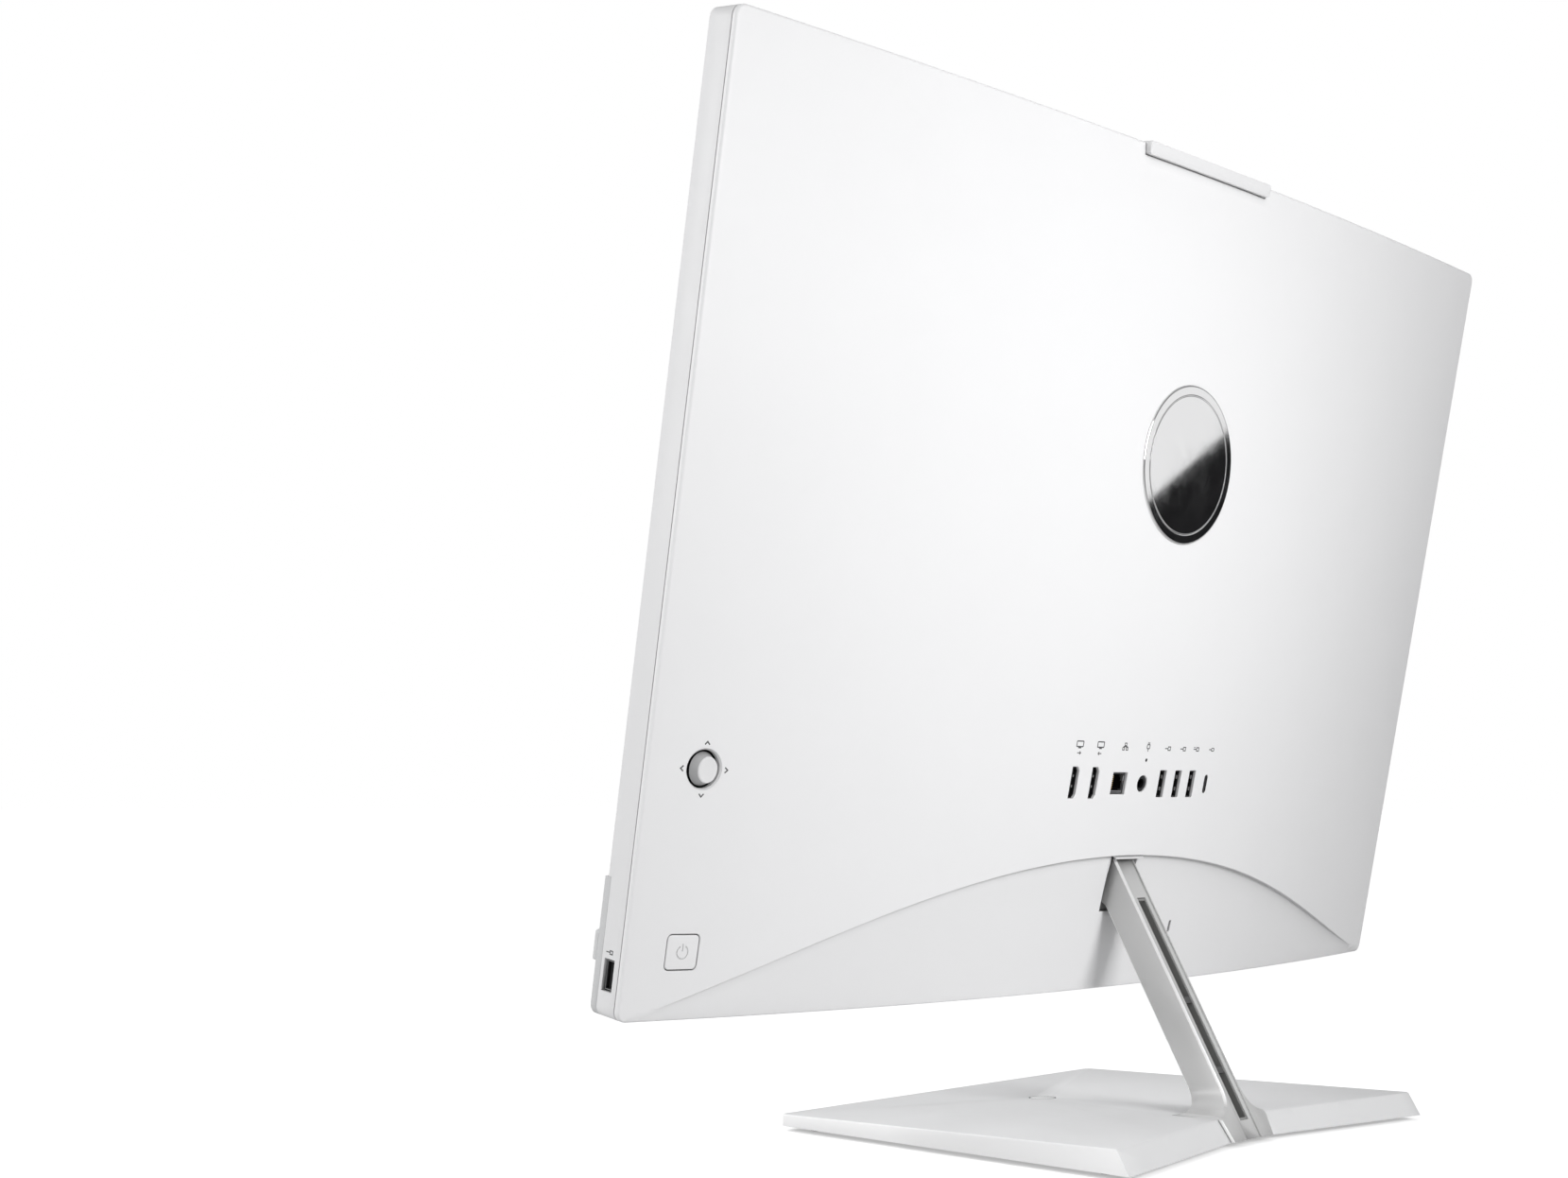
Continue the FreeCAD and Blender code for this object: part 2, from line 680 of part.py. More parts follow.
def vee(x):
    """Shallow rounded vee, lowest at the centre."""
    return math.sqrt((0.1715 * x) ** 2 + 1.4 ** 2)


def wedge(inset, z0, top0, rise=BASE_RISE):
    """Plate with a vee rear wall that leans forward as it rises."""
    low, high, spans = -6.0, 30.0, 32
    half = BASE_HALF - inset
    points = []
    for i in range(spans + 1):
        x = half - i * 2 * half / spans
        y = REAR_CORNER_Y - vee(BASE_HALF) + vee(x) - inset
        points.append(V(x, y + REAR_LEAN * (low - BASE_Z0), low))
    curve = Part.BSplineCurve()
    curve.interpolate(points)
    left, right = V(-half, -400, low), V(half, -400, low)
    outline = Part.Wire([curve.toShape(), Part.makeLine(points[-1], left),
                         Part.makeLine(left, right), Part.makeLine(right, points[0])])
    body = Part.Face(outline).extrude(V(0, REAR_LEAN * (high - low), high - low))
    # keep between the bottom plane, the top plane and the front face
    y0, y1 = BASE_Y0 + inset, 150
    limit = prism([(-200, y0, z0), (-200, y1, z0),
                   (-200, y1, top0 + rise * (y1 - BASE_Y0)),
                   (-200, y0, top0 + rise * (y0 - BASE_Y0))], (400, 0, 0))
    return body.common(limit)


def neck_land(margin):
    """Area around the neck's foot where the base stays solid."""
    return box(-26 - margin, 26 + margin, 40 - margin, 110, -5, 40)


def foot_notch():
    """Notch for the neck's foot, open to the rear."""
    side_view = prism([(-50, rear_y(0) + 30, -2), (-50, front_y(-2) - FOOT_GAP, -2),
                       (-50, front_y(20) - FOOT_GAP, 20), (-50, rear_y(20) + 30, 20)],
                      (100, 0, 0))
    wide, narrow = FLARE_HALF + FOOT_GAP, FOOT_HALF + FOOT_GAP
    half = [(wide, 16.0), (wide, FLARE_Z), (narrow, BASE_Z0), (narrow, -2)]
    outline = half + [(-x, z) for x, z in reversed(half)]
    return side_view.common(prism([(x, -60, z) for x, z in outline], (0, 200, 0)))


def ring_rod(depth, height, r):
    """Cylinder square to the top face at the ring mark, from a depth below it."""
    centre = V(0, RING_Y, base_top_z(RING_Y))
    return Part.makeCylinder(r, height, centre - TOP_NORMAL * depth, TOP_NORMAL)


def is_front_upright(edge):
    if len(edge.Vertexes) != 2:
        return False
    start, end = [vertex.Point for vertex in edge.Vertexes]
    return abs(start.x - end.x) < 1e-3 and abs(start.y - end.y) < 1e-3 and start.y < -90


def base_plate():
    plate = wedge(0, BASE_Z0, BASE_TOP0)
    plate = plate.makeFillet(4.0, [edge for edge in plate.Edges if is_front_upright(edge)])
    top_edges = [edge for edge in plate.Edges if edge.BoundBox.ZMin > BASE_TOP0 - 0.2]
    # guards the chamfer: if it fails, the top edge stays square
    try:
        plate = plate.makeChamfer(0.5, top_edges)
    except Exception:
        pass
    # cavity from beneath for the weight and the bottom cover
    cavity = wedge(CAVITY_INSET, BASE_Z0 - 1, BASE_TOP0 - 2.2)
    plate = plate.cut(cavity.cut(neck_land(0)))
    plate = plate.cut(foot_notch())
    # shallow round groove in the top face
    groove = ring_rod(0.35, 2, RING_R + 0.35).cut(ring_rod(0.45, 2.4, RING_R - 0.35))
    return plate.cut(groove).removeSplitter()


def base_ring():
    return ring_rod(0.33, 0.3, RING_R + 0.3).cut(ring_rod(0.6, 2.4, RING_R - 0.3))


def stadium(x, y, half_x, half_y, z0, z1):
    """Upright prism with a stadium outline, long along x."""
    straight = half_x - half_y
    corners = [V(x - straight, y - half_y, z0), V(x + straight, y - half_y, z0),
               V(x + straight, y + half_y, z0), V(x - straight, y + half_y, z0)]
    outline = Part.Wire([
        Part.makeLine(corners[0], corners[1]),
        Part.Arc(corners[1], V(x + half_x, y, z0), corners[2]).toShape(),
        Part.makeLine(corners[2], corners[3]),
        Part.Arc(corners[3], V(x - half_x, y, z0), corners[0]).toShape()])
    return Part.Face(outline).extrude(V(0, 0, z1 - z0))


def base_cover():
    """Bottom cover that closes the cavity."""
    cover = wedge(CAVITY_INSET + COVER_GAP, BASE_Z0, BASE_Z0 + 1.4, rise=0)
    cover = cover.cut(neck_land(COVER_GAP))
    for x, y in FEET:
        cover = cover.cut(stadium(x, y, 9.1, 5.1, BASE_Z0 - 1, BASE_Z0 + 0.65))
    for x, y in BASE_SCREWS:
        cover = cover.cut(rod_z(x, y, BASE_Z0 - 2, BASE_Z0 + 1, 3.05))
        cover = cover.cut(rod_z(x, y, BASE_Z0 - 2, BASE_Z0 + 8, 1.6))
    return cover


def rubber_feet():
    return [stadium(x, y, 9.0, 5.0, 0.0, BASE_Z0 + 0.6) for x, y in FEET]


def base_screws():
    return [fuse(rod_z(x, y, BASE_Z0 + 0.15, BASE_Z0 + 0.95, 2.8),
                 rod_z(x, y, BASE_Z0 + 0.9, BASE_Z0 + 2.4, 1.4)).cut(
        rod_z(x, y, BASE_Z0, BASE_Z0 + 0.5, 1.0)) for x, y in BASE_SCREWS]


def base_weight():
    weight = wedge(CAVITY_INSET + 3, BASE_Z0 + 2.6, BASE_TOP0 - 2.5).cut(neck_land(3))
    return weight.common(box(-122, 122, -78, 92, 0, 30))


# ---------------------------------------------------------------------------
# Mainboard and its parts
# ---------------------------------------------------------------------------
CPU_U, CPU_V = -62.0, 182.0
PIPE_HALF = 3.2
PIPE_W0, PIPE_W1 = BOARD_W1 + 4.95, BOARD_W1 + 7.6
# heat pipe centre lines, (u, v)
PIPE_PATHS = [[(-40, 190), (-96, 190), (-124, 232), (-184, 236)],
              [(-40, 174), (-102, 174), (-132, 222), (-184, 228)]]
FIN_U, FIN_PITCH, FIN_T, FIN_COUNT = -198, 2.0, 0.6, 36
FAN_U, FAN_V = -163.0, 184.0
FAN_W0, FAN_W1 = 14.6, 26.6
BLADES = 29


def mainboard():
    board = rounded_plate(-120, 114, 90, 252, 3, BOARD_W0, BOARD_W1)
    tools = [rod_w(u, v, 0, 60, 1.7) for u, v in STANDOFFS]
    tools.append(head_box(-95, -60, 244, 260, 0, 60))
    return cut_all(board, tools)


def board_screws():
    return [fuse(rod_w(u, v, ON_BOARD, BOARD_W1 + 1.6, 2.9),
                 rod_w(u, v, BOARD_W0 - 3.0, BOARD_W1 + 0.1, 1.15)) for u, v in STANDOFFS]


def processor():
    return fuse(block(CPU_U, CPU_V, 18, 18, ON_BOARD, BOARD_W1 + 1.4),
                rounded_block(CPU_U, CPU_V, 14, 13, 2, BOARD_W1 + 1.3, BOARD_W1 + 2.8))


def cold_plate():
    return rounded_block(CPU_U, CPU_V, 24, 22, 2, BOARD_W1 + 2.9, BOARD_W1 + 4.9)


def heat_pipe(path):
    """Flat bar along each leg of a path, with a round end on each."""
    pipe = None
    for (u0, v0), (u1, v1) in zip(path, path[1:]):
        length = math.hypot(u1 - u0, v1 - v0)
        leg = head_box(0, length, -PIPE_HALF, PIPE_HALF, PIPE_W0, PIPE_W1)
        leg.rotate(V(0, 0, 0), V(0, 1, 0), -math.degrees(math.atan2(v1 - v0, u1 - u0)))
        leg.translate(V(u0, 0, v0))
        leg = leg.fuse(rod_w(u1, v1, PIPE_W0, PIPE_W1, PIPE_HALF))
        pipe = leg if pipe is None else pipe.fuse(leg)
    return pipe.removeSplitter()


def heat_pipes():
    return [heat_pipe(path) for path in PIPE_PATHS]


def fin_stack():
    w0, w1 = 15.0, PIPE_W0 - 0.05
    starts = [FIN_U + FIN_PITCH * i for i in range(FIN_COUNT)]
    spine = head_box(FIN_U, starts[-1] + FIN_T, 238.6, 240.0, w0, w1)
    return fuse(spine, *[head_box(u, u + FIN_T, 222.5, 241.0, w0, w1) for u in starts])


def fan_rod(low, high, r):
    """Cylinder on the fan axis, heights from the housing's front face."""
    return rod_w(FAN_U, FAN_V, FAN_W0 + low, FAN_W0 + high, r)


def fan_housing():
    depth = FAN_W1 - FAN_W0
    housing = rounded_plate(FAN_U - 38, FAN_U + 38, FAN_V - 37, FAN_V + 37.5, 12,
                            FAN_W0, FAN_W1)
    housing = housing.cut(fan_rod(1.2, depth - 1.2, 35.0)).cut(fan_rod(depth - 2, depth + 2, 21.0))
    # outlet towards the fins
    housing = housing.cut(head_box(FAN_U - 30, FAN_U + 30, FAN_V + 10, FAN_V + 40,
                                   FAN_W0 + 1.2, FAN_W1 - 1.2))
    return fuse(housing, fan_rod(1.0, 3.4, 6.0), fan_rod(3.0, 8.0, 1.5))


def fan_rotor():
    depth = FAN_W1 - FAN_W0
    rotor = fan_rod(3.7, depth - 2.2, 12.5)
    rotor = rotor.cut(fan_rod(3, 5.6, 11.0)).cut(fan_rod(0, 8.6, 1.56))
    rotor = rotor.fuse(fan_rod(3.7, 4.6, 33.0).cut(fan_rod(0, depth, 12.0)))
    for i in range(BLADES):
        blade = head_box(11.8, 33.0, -0.4, 0.4, FAN_W0 + 4.4, FAN_W1 - 2.4)
        blade.rotate(V(12, 0, 0), V(0, 1, 0), 22)
        blade = blade.common(rod_w(0, 0, FAN_W0, FAN_W1, 33.4))
        blade.rotate(V(0, 0, 0), V(0, 1, 0), 360.0 * i / BLADES)
        blade.translate(V(FAN_U, 0, FAN_V))
        rotor = rotor.fuse(blade)
    return rotor.removeSplitter()


def ram_modules():
    modules = []
    for u in (8, 48):
        chips = [board_box(u + 3, u + 12, v, v + 12, 3.1, 4.2) for v in (184, 202, 220)]
        socket = board_box(u + 25, u + 30, 174, 247, 0.05, 2.3)
        modules.append(fuse(board_box(u, u + 30, 176, 245, 2.2, 3.2), *chips, socket))
    return modules


def ssd_module():
    return fuse(board_box(24, 104, 130, 152, 2.0, 2.8),
                board_box(40, 62, 133, 149, 2.7, 3.9),
                board_box(100, 106, 130, 152, 0.05, 2.1))


def wifi_card():
    return fuse(board_box(-24, 6, 128, 150, 2.0, 2.8),
                board_box(-20, -2, 131, 147, 2.7, 4.3),
                board_box(2, 8, 128, 150, 0.05, 2.1))


def coin_cell():
    return fuse(rod_w(-96, 124, BOARD_W1 + 1.0, BOARD_W1 + 4.2, 10.0),
                rod_w(-96, 124, ON_BOARD, BOARD_W1 + 1.1, 8.0))


# ---------------------------------------------------------------------------
# Connectors: the rear ones stand on the mainboard, mouths just under the cover
# ---------------------------------------------------------------------------
def mouth_w(u):
    return min(cover_w(u - 3, PORT_V), cover_w(u + 3, PORT_V)) - WALL - 0.35


def hdmi_ports():
    ports = []
    for u in HDMI_U:
        mouth = mouth_w(u)
        shell = hdmi_prism(u, 0.9, ON_BOARD, mouth).cut(
            hdmi_prism(u, -0.05, mouth - 9.5, mouth + 3))
        ports.append(fuse(shell, block(u, PORT_V, 0.55, 5.6, mouth - 9.6, mouth - 1.2)))
    return ports


def usb_a_ports():
    ports = []
    for u in USB_U:
        mouth = mouth_w(u)
        shell = block(u, PORT_V, 3.9, 7.6, ON_BOARD, mouth).cut(
            block(u, PORT_V, 2.95, 6.7, mouth - 9.8, mouth + 3))
        ports.append(fuse(shell, block(u + 1.45, PORT_V, 0.85, 5.6, mouth - 9.9, mouth - 0.6)))
    return ports


def lan_port():
    mouth = mouth_w(LAN_U)
    shell = block(LAN_U, PORT_V, 7.4, 7.6, ON_BOARD, mouth)
    # plug cavity and its narrower latch step
    shell = shell.cut(block(LAN_U + 1.0, PORT_V, 4.4, 5.2, mouth - 10.5, mouth + 3))
    shell = shell.cut(block(LAN_U - 4.35, PORT_V, 1.05, 3.0, mouth - 10.5, mouth + 3))
    contacts = [head_box(LAN_U + 2.6, LAN_U + 5.5, PORT_V - 4.2 + 1.2 * i, PORT_V - 3.8 + 1.2 * i,
                         mouth - 10.6, mouth - 4.0) for i in range(8)]
    return fuse(shell, Part.makeCompound(contacts))


def dc_jack():
    mouth = mouth_w(DC_U)
    shell = rod_w(DC_U, PORT_V, ON_BOARD, mouth, 5.6).cut(
        rod_w(DC_U, PORT_V, mouth - 9.5, mouth + 3, 3.65))
    return fuse(shell, rod_w(DC_U, PORT_V, mouth - 9.6, mouth - 1.0, 0.8))


def usb_c_port():
    mouth = mouth_w(USBC_U)
    shell = rounded_block(USBC_U, PORT_V, 2.4, 5.5, 2.3, ON_BOARD, mouth).cut(
        rounded_block(USBC_U, PORT_V, 1.35, 4.4, 1.3, mouth - 6.5, mouth + 3))
    return fuse(shell, block(USBC_U, PORT_V, 0.35, 3.3, mouth - 6.6, mouth - 0.6))


def led_light_pipe():
    surface_w = dome(DC_U, LED_V)
    return fuse(rod_w(DC_U, LED_V, ON_BOARD, surface_w - WALL - 0.3, 1.6),
                rod_w(DC_U, LED_V, surface_w - WALL - 0.4, surface_w - 0.12, 0.78))


def side_usb_port():
    def side_box(u0, u1, half_v, w0, w1):
        return head_box(HALF_W - WALL + u0, HALF_W - WALL + u1, SIDE_USB_V - half_v,
                        SIDE_USB_V + half_v, SIDE_USB_W + w0, SIDE_USB_W + w1)

    shell = side_box(-14.0, -0.15, 7.6, -3.7, 3.7).cut(side_box(-10, WALL, 6.7, -2.95, 2.95))
    return fuse(shell, side_box(-10.1, -0.7, 5.6, -2.2, -0.5))


def side_io_board():
    return head_box(HALF_W - WALL - 40, HALF_W - WALL - 6.0, 4.0, 46.0, 1.6, SIDE_USB_W - 3.75)


# ---------------------------------------------------------------------------
# Speakers in the lower corners
# ---------------------------------------------------------------------------
def speaker(side):
    u, v = side * 199.0, 33
    large_u, small_u = u - 20, u + 26
    body = rounded_plate(u - 51, u + 51, 14.5, 52.0, 4, CHASSIS_W1 + 0.4, 21.0)
    body = body.cut(rod_w(large_u, v, 17.6, 25, 14.0)).cut(rod_w(small_u, v, 19.4, 25, 8.0))
    return fuse(body, cone_w(large_u, v, 17.5, 19.6, 12.6, 5.0),
                cone_w(small_u, v, 19.3, 20.6, 6.8, 2.6))


def speaker_left():
    return speaker(-1)


def speaker_right():
    return speaker(1)


# ---------------------------------------------------------------------------
# Controls: power button and five-way joystick on one key board
# ---------------------------------------------------------------------------
BUTTON_GAP = 0.45
PIVOT_W = 16.4          # joystick tilt axes


def key_board():
    return fuse(rounded_plate(266.5, 291.0, 18.0, 118.0, 2, KEY_BOARD_W0, KEY_BOARD_W1),
                block(BUTTON_U, BUTTON_V, 3, 3, CHASSIS_W1 + 1.0, 13.4),
                rod_w(BUTTON_U, BUTTON_V, 13.3, 13.85, 1.6))


def power_button():
    button = rounded_block(BUTTON_U, BUTTON_V, BUTTON_HALF_U - BUTTON_GAP,
                           BUTTON_HALF_V - BUTTON_GAP, BUTTON_R - BUTTON_GAP, 15.4, 60)
    button = button.common(below_facet(0.05)).common(below_dome(0.05))
    return fuse(button, rod_w(BUTTON_U, BUTTON_V, 14.6, 15.6, 3.0))


def joy_rod(w0, w1, r):
    """Cylinder on the joystick's upright axis."""
    return rod_w(JOY_U, JOY_V, w0, w1, r)


def joystick_housing():
    return block(JOY_U, JOY_V, 7.4, 7.4, KEY_BOARD_W1 + 0.05, 15.9).cut(
        joy_rod(KEY_BOARD_W1 + 0.75, 30, 6.75))


def joystick_carrier():
    """Pressed part: disc with two posts and pins along u for the ring."""
    posts = [block(JOY_U + side * 5.95, JOY_V, 0.35, 1.5, KEY_BOARD_W1 + 1.6, PIVOT_W + 0.75)
             for side in SIDES]
    pins = [rod_u(JOY_U + side * 5.35, JOY_V, PIVOT_W, 0.4, 0.45) for side in SIDES]
    return fuse(joy_rod(KEY_BOARD_W1 + 1.15, KEY_BOARD_W1 + 1.65, 6.6), *posts, *pins)


def joystick_ring():
    """Tilts about u on the carrier, with pins along v for the stick."""
    ring = joy_rod(PIVOT_W - 0.9, PIVOT_W + 0.9, 5.35).cut(joy_rod(PIVOT_W - 3, PIVOT_W + 3, 4.1))
    ring = ring.cut(rod_u(JOY_U, JOY_V, PIVOT_W, 8, 0.5))
    pins = []
    for side in SIDES:
        v = JOY_V + side * 3.7
        pins.append(rod_z(JOY_U, PIVOT_W, v - 0.6, v + 0.6, 0.45))
    return fuse(ring, *pins)


def joystick_stick():
    """Tilts about v in the ring and carries the cap."""
    hub = joy_rod(PIVOT_W - 1.2, PIVOT_W + 1.9, 3.35)
    hub = hub.cut(rod_z(JOY_U, PIVOT_W, JOY_V - 10, JOY_V + 10, 0.5))
    rim_w = JOY_SURFACE_W + 1.9
    return fuse(hub, cone_w(JOY_U, JOY_V, PIVOT_W + 1.8, rim_w, 7.2, 5.5),
                cone_w(JOY_U, JOY_V, rim_w, JOY_SURFACE_W + 2.3, 5.5, 5.1))


# ---------------------------------------------------------------------------
# Pop-up camera
# ---------------------------------------------------------------------------
LENS_V = 388.6


def camera_housing():
    cap = rounded_plate(-CAMERA_HALF, CAMERA_HALF, CAMERA_V0, 401.3, 1.2,
                        15.6, dome(0, 397) + 2.3)
    housing = fuse(cap, rounded_plate(-46, 46, 366, CAMERA_V0 + 3.0, 2.0, 16.6, 25.4))
    # lens bore and a small bore on each side
    housing = housing.cut(rod_w(0, LENS_V, 10, 19.6, 3.55))
    for u in (14, -14):
        housing = housing.cut(rod_w(u, LENS_V, 10, 17.4, 1.3))
    return housing


def camera_lens():
    return fuse(rod_w(0, LENS_V, 16.75, 19.5, 3.45), rod_w(0, LENS_V, 16.65, 16.8, 2.2))


def camera_guide():
    guide = rounded_plate(-50.5, 50.5, 344, 393.4, 2, 14.6, 27.2)
    guide = guide.cut(head_box(-46.2, 46.2, 347.5, 395, 16.4, 25.6))
    return guide.cut(rounded_plate(-36, 36, 352, 384, 3, 24, 30))


def camera_springs():
    """Springs simplified to tubes."""
    return [rod_z(side * 38, 21, 348.0, 365.6, 2.6).cut(rod_z(side * 38, 21, 347, 367, 1.7))
            for side in SIDES]


# ---------------------------------------------------------------------------
# Emblem, lock insert, antennas, cable
# ---------------------------------------------------------------------------
def emblem_disc():
    top = 0.25
    disc = emblem_rod(-1.15, top, EMBLEM_R)
    top_centre = EMBLEM_CENTRE + EMBLEM_AXIS * top
    rim = [edge for edge in disc.Edges
           if edge.Closed and (edge.CenterOfMass - top_centre).Length < 0.05]
    disc = disc.makeChamfer(0.45, rim)
    return disc.cut(emblem_rod(-0.05, 3, EMBLEM_R - 4.2).cut(emblem_rod(-1, 4, EMBLEM_R - 5.2)))


def lock_insert():
    inner_w = facet(LOCK_U, LOCK_V) - WALL
    return rounded_plate(-64, -49, 22, 39, 2, inner_w - 4.2, inner_w - 1.6).cut(
        rounded_block(LOCK_U, LOCK_V, 1.2, 3.1, 0.6, 10, 60))


def antennas():
    return [block(u, 381, 16, 5, CHASSIS_W1 + 0.4, CHASSIS_W1 + 1.3) for u in (-150, 150)]


def display_cable():
    """Flat cable stepping from the chassis plate up to the mainboard."""
    low, high = CHASSIS_W1 + 3.0, BOARD_W1 + 1.2
    return fuse(head_box(-8, 8, 262, 286, low, low + 0.5),
                head_box(-8, 8, 258, 262.2, low, high),
                head_box(-8, 8, 246, 262, high - 0.5, high))


# ---------------------------------------------------------------------------
# Files: each is named after the function that builds it
# ---------------------------------------------------------------------------
HEAD_PIECES = [
    rear_cover, side_frame, front_bezel, chin_panel, chin_rail,
    lcd_panel, backlight_unit, panel_tray, chassis_plate,
    hinge_bracket, bracket_screws, hinge_shaft, friction_washers, hinge_nuts,
    mainboard, board_screws, processor, cold_plate, heat_pipes, fin_stack,
    fan_housing, fan_rotor, ram_modules, ssd_module, wifi_card, coin_cell,
    hdmi_ports, usb_a_ports, lan_port, dc_jack, usb_c_port, led_light_pipe,
    side_usb_port, side_io_board, speaker_left, speaker_right,
    key_board, power_button, joystick_housing, joystick_carrier, joystick_ring,
    joystick_stick, camera_housing, camera_lens, camera_guide, camera_springs,
    emblem_disc, lock_insert, antennas, display_cable]
STAND_PIECES = [
    neck_arm, cable_channel, cable_clips, neck_screws,
    base_plate, base_ring, base_cover, rubber_feet, base_screws, base_weight]

os.makedirs("parts", exist_ok=True)
for build in HEAD_PIECES:
    export(build.__name__, build(), in_head=True)
for build in STAND_PIECES:
    export(build.__name__, build(), in_head=False)
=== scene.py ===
import bpy, bmesh, math, json
from mathutils import Vector, Matrix


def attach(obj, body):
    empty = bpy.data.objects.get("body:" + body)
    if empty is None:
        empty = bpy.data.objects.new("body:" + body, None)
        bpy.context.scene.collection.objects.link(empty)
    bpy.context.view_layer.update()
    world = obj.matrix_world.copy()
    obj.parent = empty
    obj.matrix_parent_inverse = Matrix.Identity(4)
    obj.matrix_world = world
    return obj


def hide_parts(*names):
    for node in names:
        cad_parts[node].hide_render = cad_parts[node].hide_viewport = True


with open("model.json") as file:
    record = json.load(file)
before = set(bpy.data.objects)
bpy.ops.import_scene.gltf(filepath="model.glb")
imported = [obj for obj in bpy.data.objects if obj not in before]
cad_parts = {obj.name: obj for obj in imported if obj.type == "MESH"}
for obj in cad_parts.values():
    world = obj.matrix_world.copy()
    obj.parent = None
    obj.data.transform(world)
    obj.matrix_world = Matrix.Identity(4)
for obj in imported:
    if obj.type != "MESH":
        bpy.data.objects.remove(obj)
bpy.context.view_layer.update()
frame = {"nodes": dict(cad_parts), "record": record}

# ---------------------------------------------------------------------------
# Shared shape of the head, in head coordinates (u right, v up the display,
# w to the rear), millimetres in, metres out
# ---------------------------------------------------------------------------
TILT = math.radians(9.833)
CT, ST = math.cos(TILT), math.sin(TILT)
HW, HH = 306.3, 400.7
NRM = Vector((0, CT, -ST))
UPV = Vector((0, ST, CT))


def P(u, v, w):
    return Vector((u / 1000, (-41.74 + v * ST + w * CT) / 1000, (72.76 + v * CT - w * ST) / 1000))


def dome(u, v):
    return 14.7 + (31.8 - 0.0002926 * (v - 159.6) ** 2) * (1 - (u / HW) ** 2)


def facet(u, v):
    q = (u / HW) ** 2
    return 14.7 + 19.0 * (1 - q) + (0.149 - 0.03 * q) * v


def surf(u, v):
    return min(dome(u, v), facet(u, v))


# ---------------------------------------------------------------------------
# Materials
# ---------------------------------------------------------------------------
def base_mat(name):
    m = bpy.data.materials.new(name)
    m.use_nodes = True
    t = m.node_tree
    t.nodes.clear()
    out = t.nodes.new("ShaderNodeOutputMaterial")
    b = t.nodes.new("ShaderNodeBsdfPrincipled")
    t.links.new(b.outputs[0], out.inputs[0])
    return m, t, b


def tex(t, kind, scale, **kw):
    c = t.nodes.new("ShaderNodeTexCoord")
    mp = t.nodes.new("ShaderNodeMapping")
    mp.inputs["Scale"].default_value = kw.pop("stretch", (1, 1, 1))
    n = t.nodes.new(kind)
    t.links.new(c.outputs["Object"], mp.inputs[0])
    t.links.new(mp.outputs[0], n.inputs["Vector"])
    n.inputs["Scale"].default_value = scale
    for k, v in kw.items():
        n.inputs[k].default_value = v
    return n


def ramp(t, src, lo, hi, a, b):
    r = t.nodes.new("ShaderNodeMapRange")
    r.inputs["From Min"].default_value = lo
    r.inputs["From Max"].default_value = hi
    r.inputs["To Min"].default_value = a
    r.inputs["To Max"].default_value = b
    t.links.new(src, r.inputs["Value"])
    return r.outputs["Result"]


def mixc(t, fac, a, b):
    m = t.nodes.new("ShaderNodeMix")
    m.data_type = "RGBA"
    for sock, val in ((m.inputs[0], fac), (m.inputs[6], a), (m.inputs[7], b)):
        if hasattr(val, "links") or isinstance(val, bpy.types.NodeSocket):
            t.links.new(val, sock)
        elif isinstance(val, (int, float)):
            sock.default_value = val
        else:
            sock.default_value = (val[0], val[1], val[2], 1)
    return m.outputs[2]


def scol(c, k):
    return tuple(min(1.0, max(0.0, x * k)) for x in c)


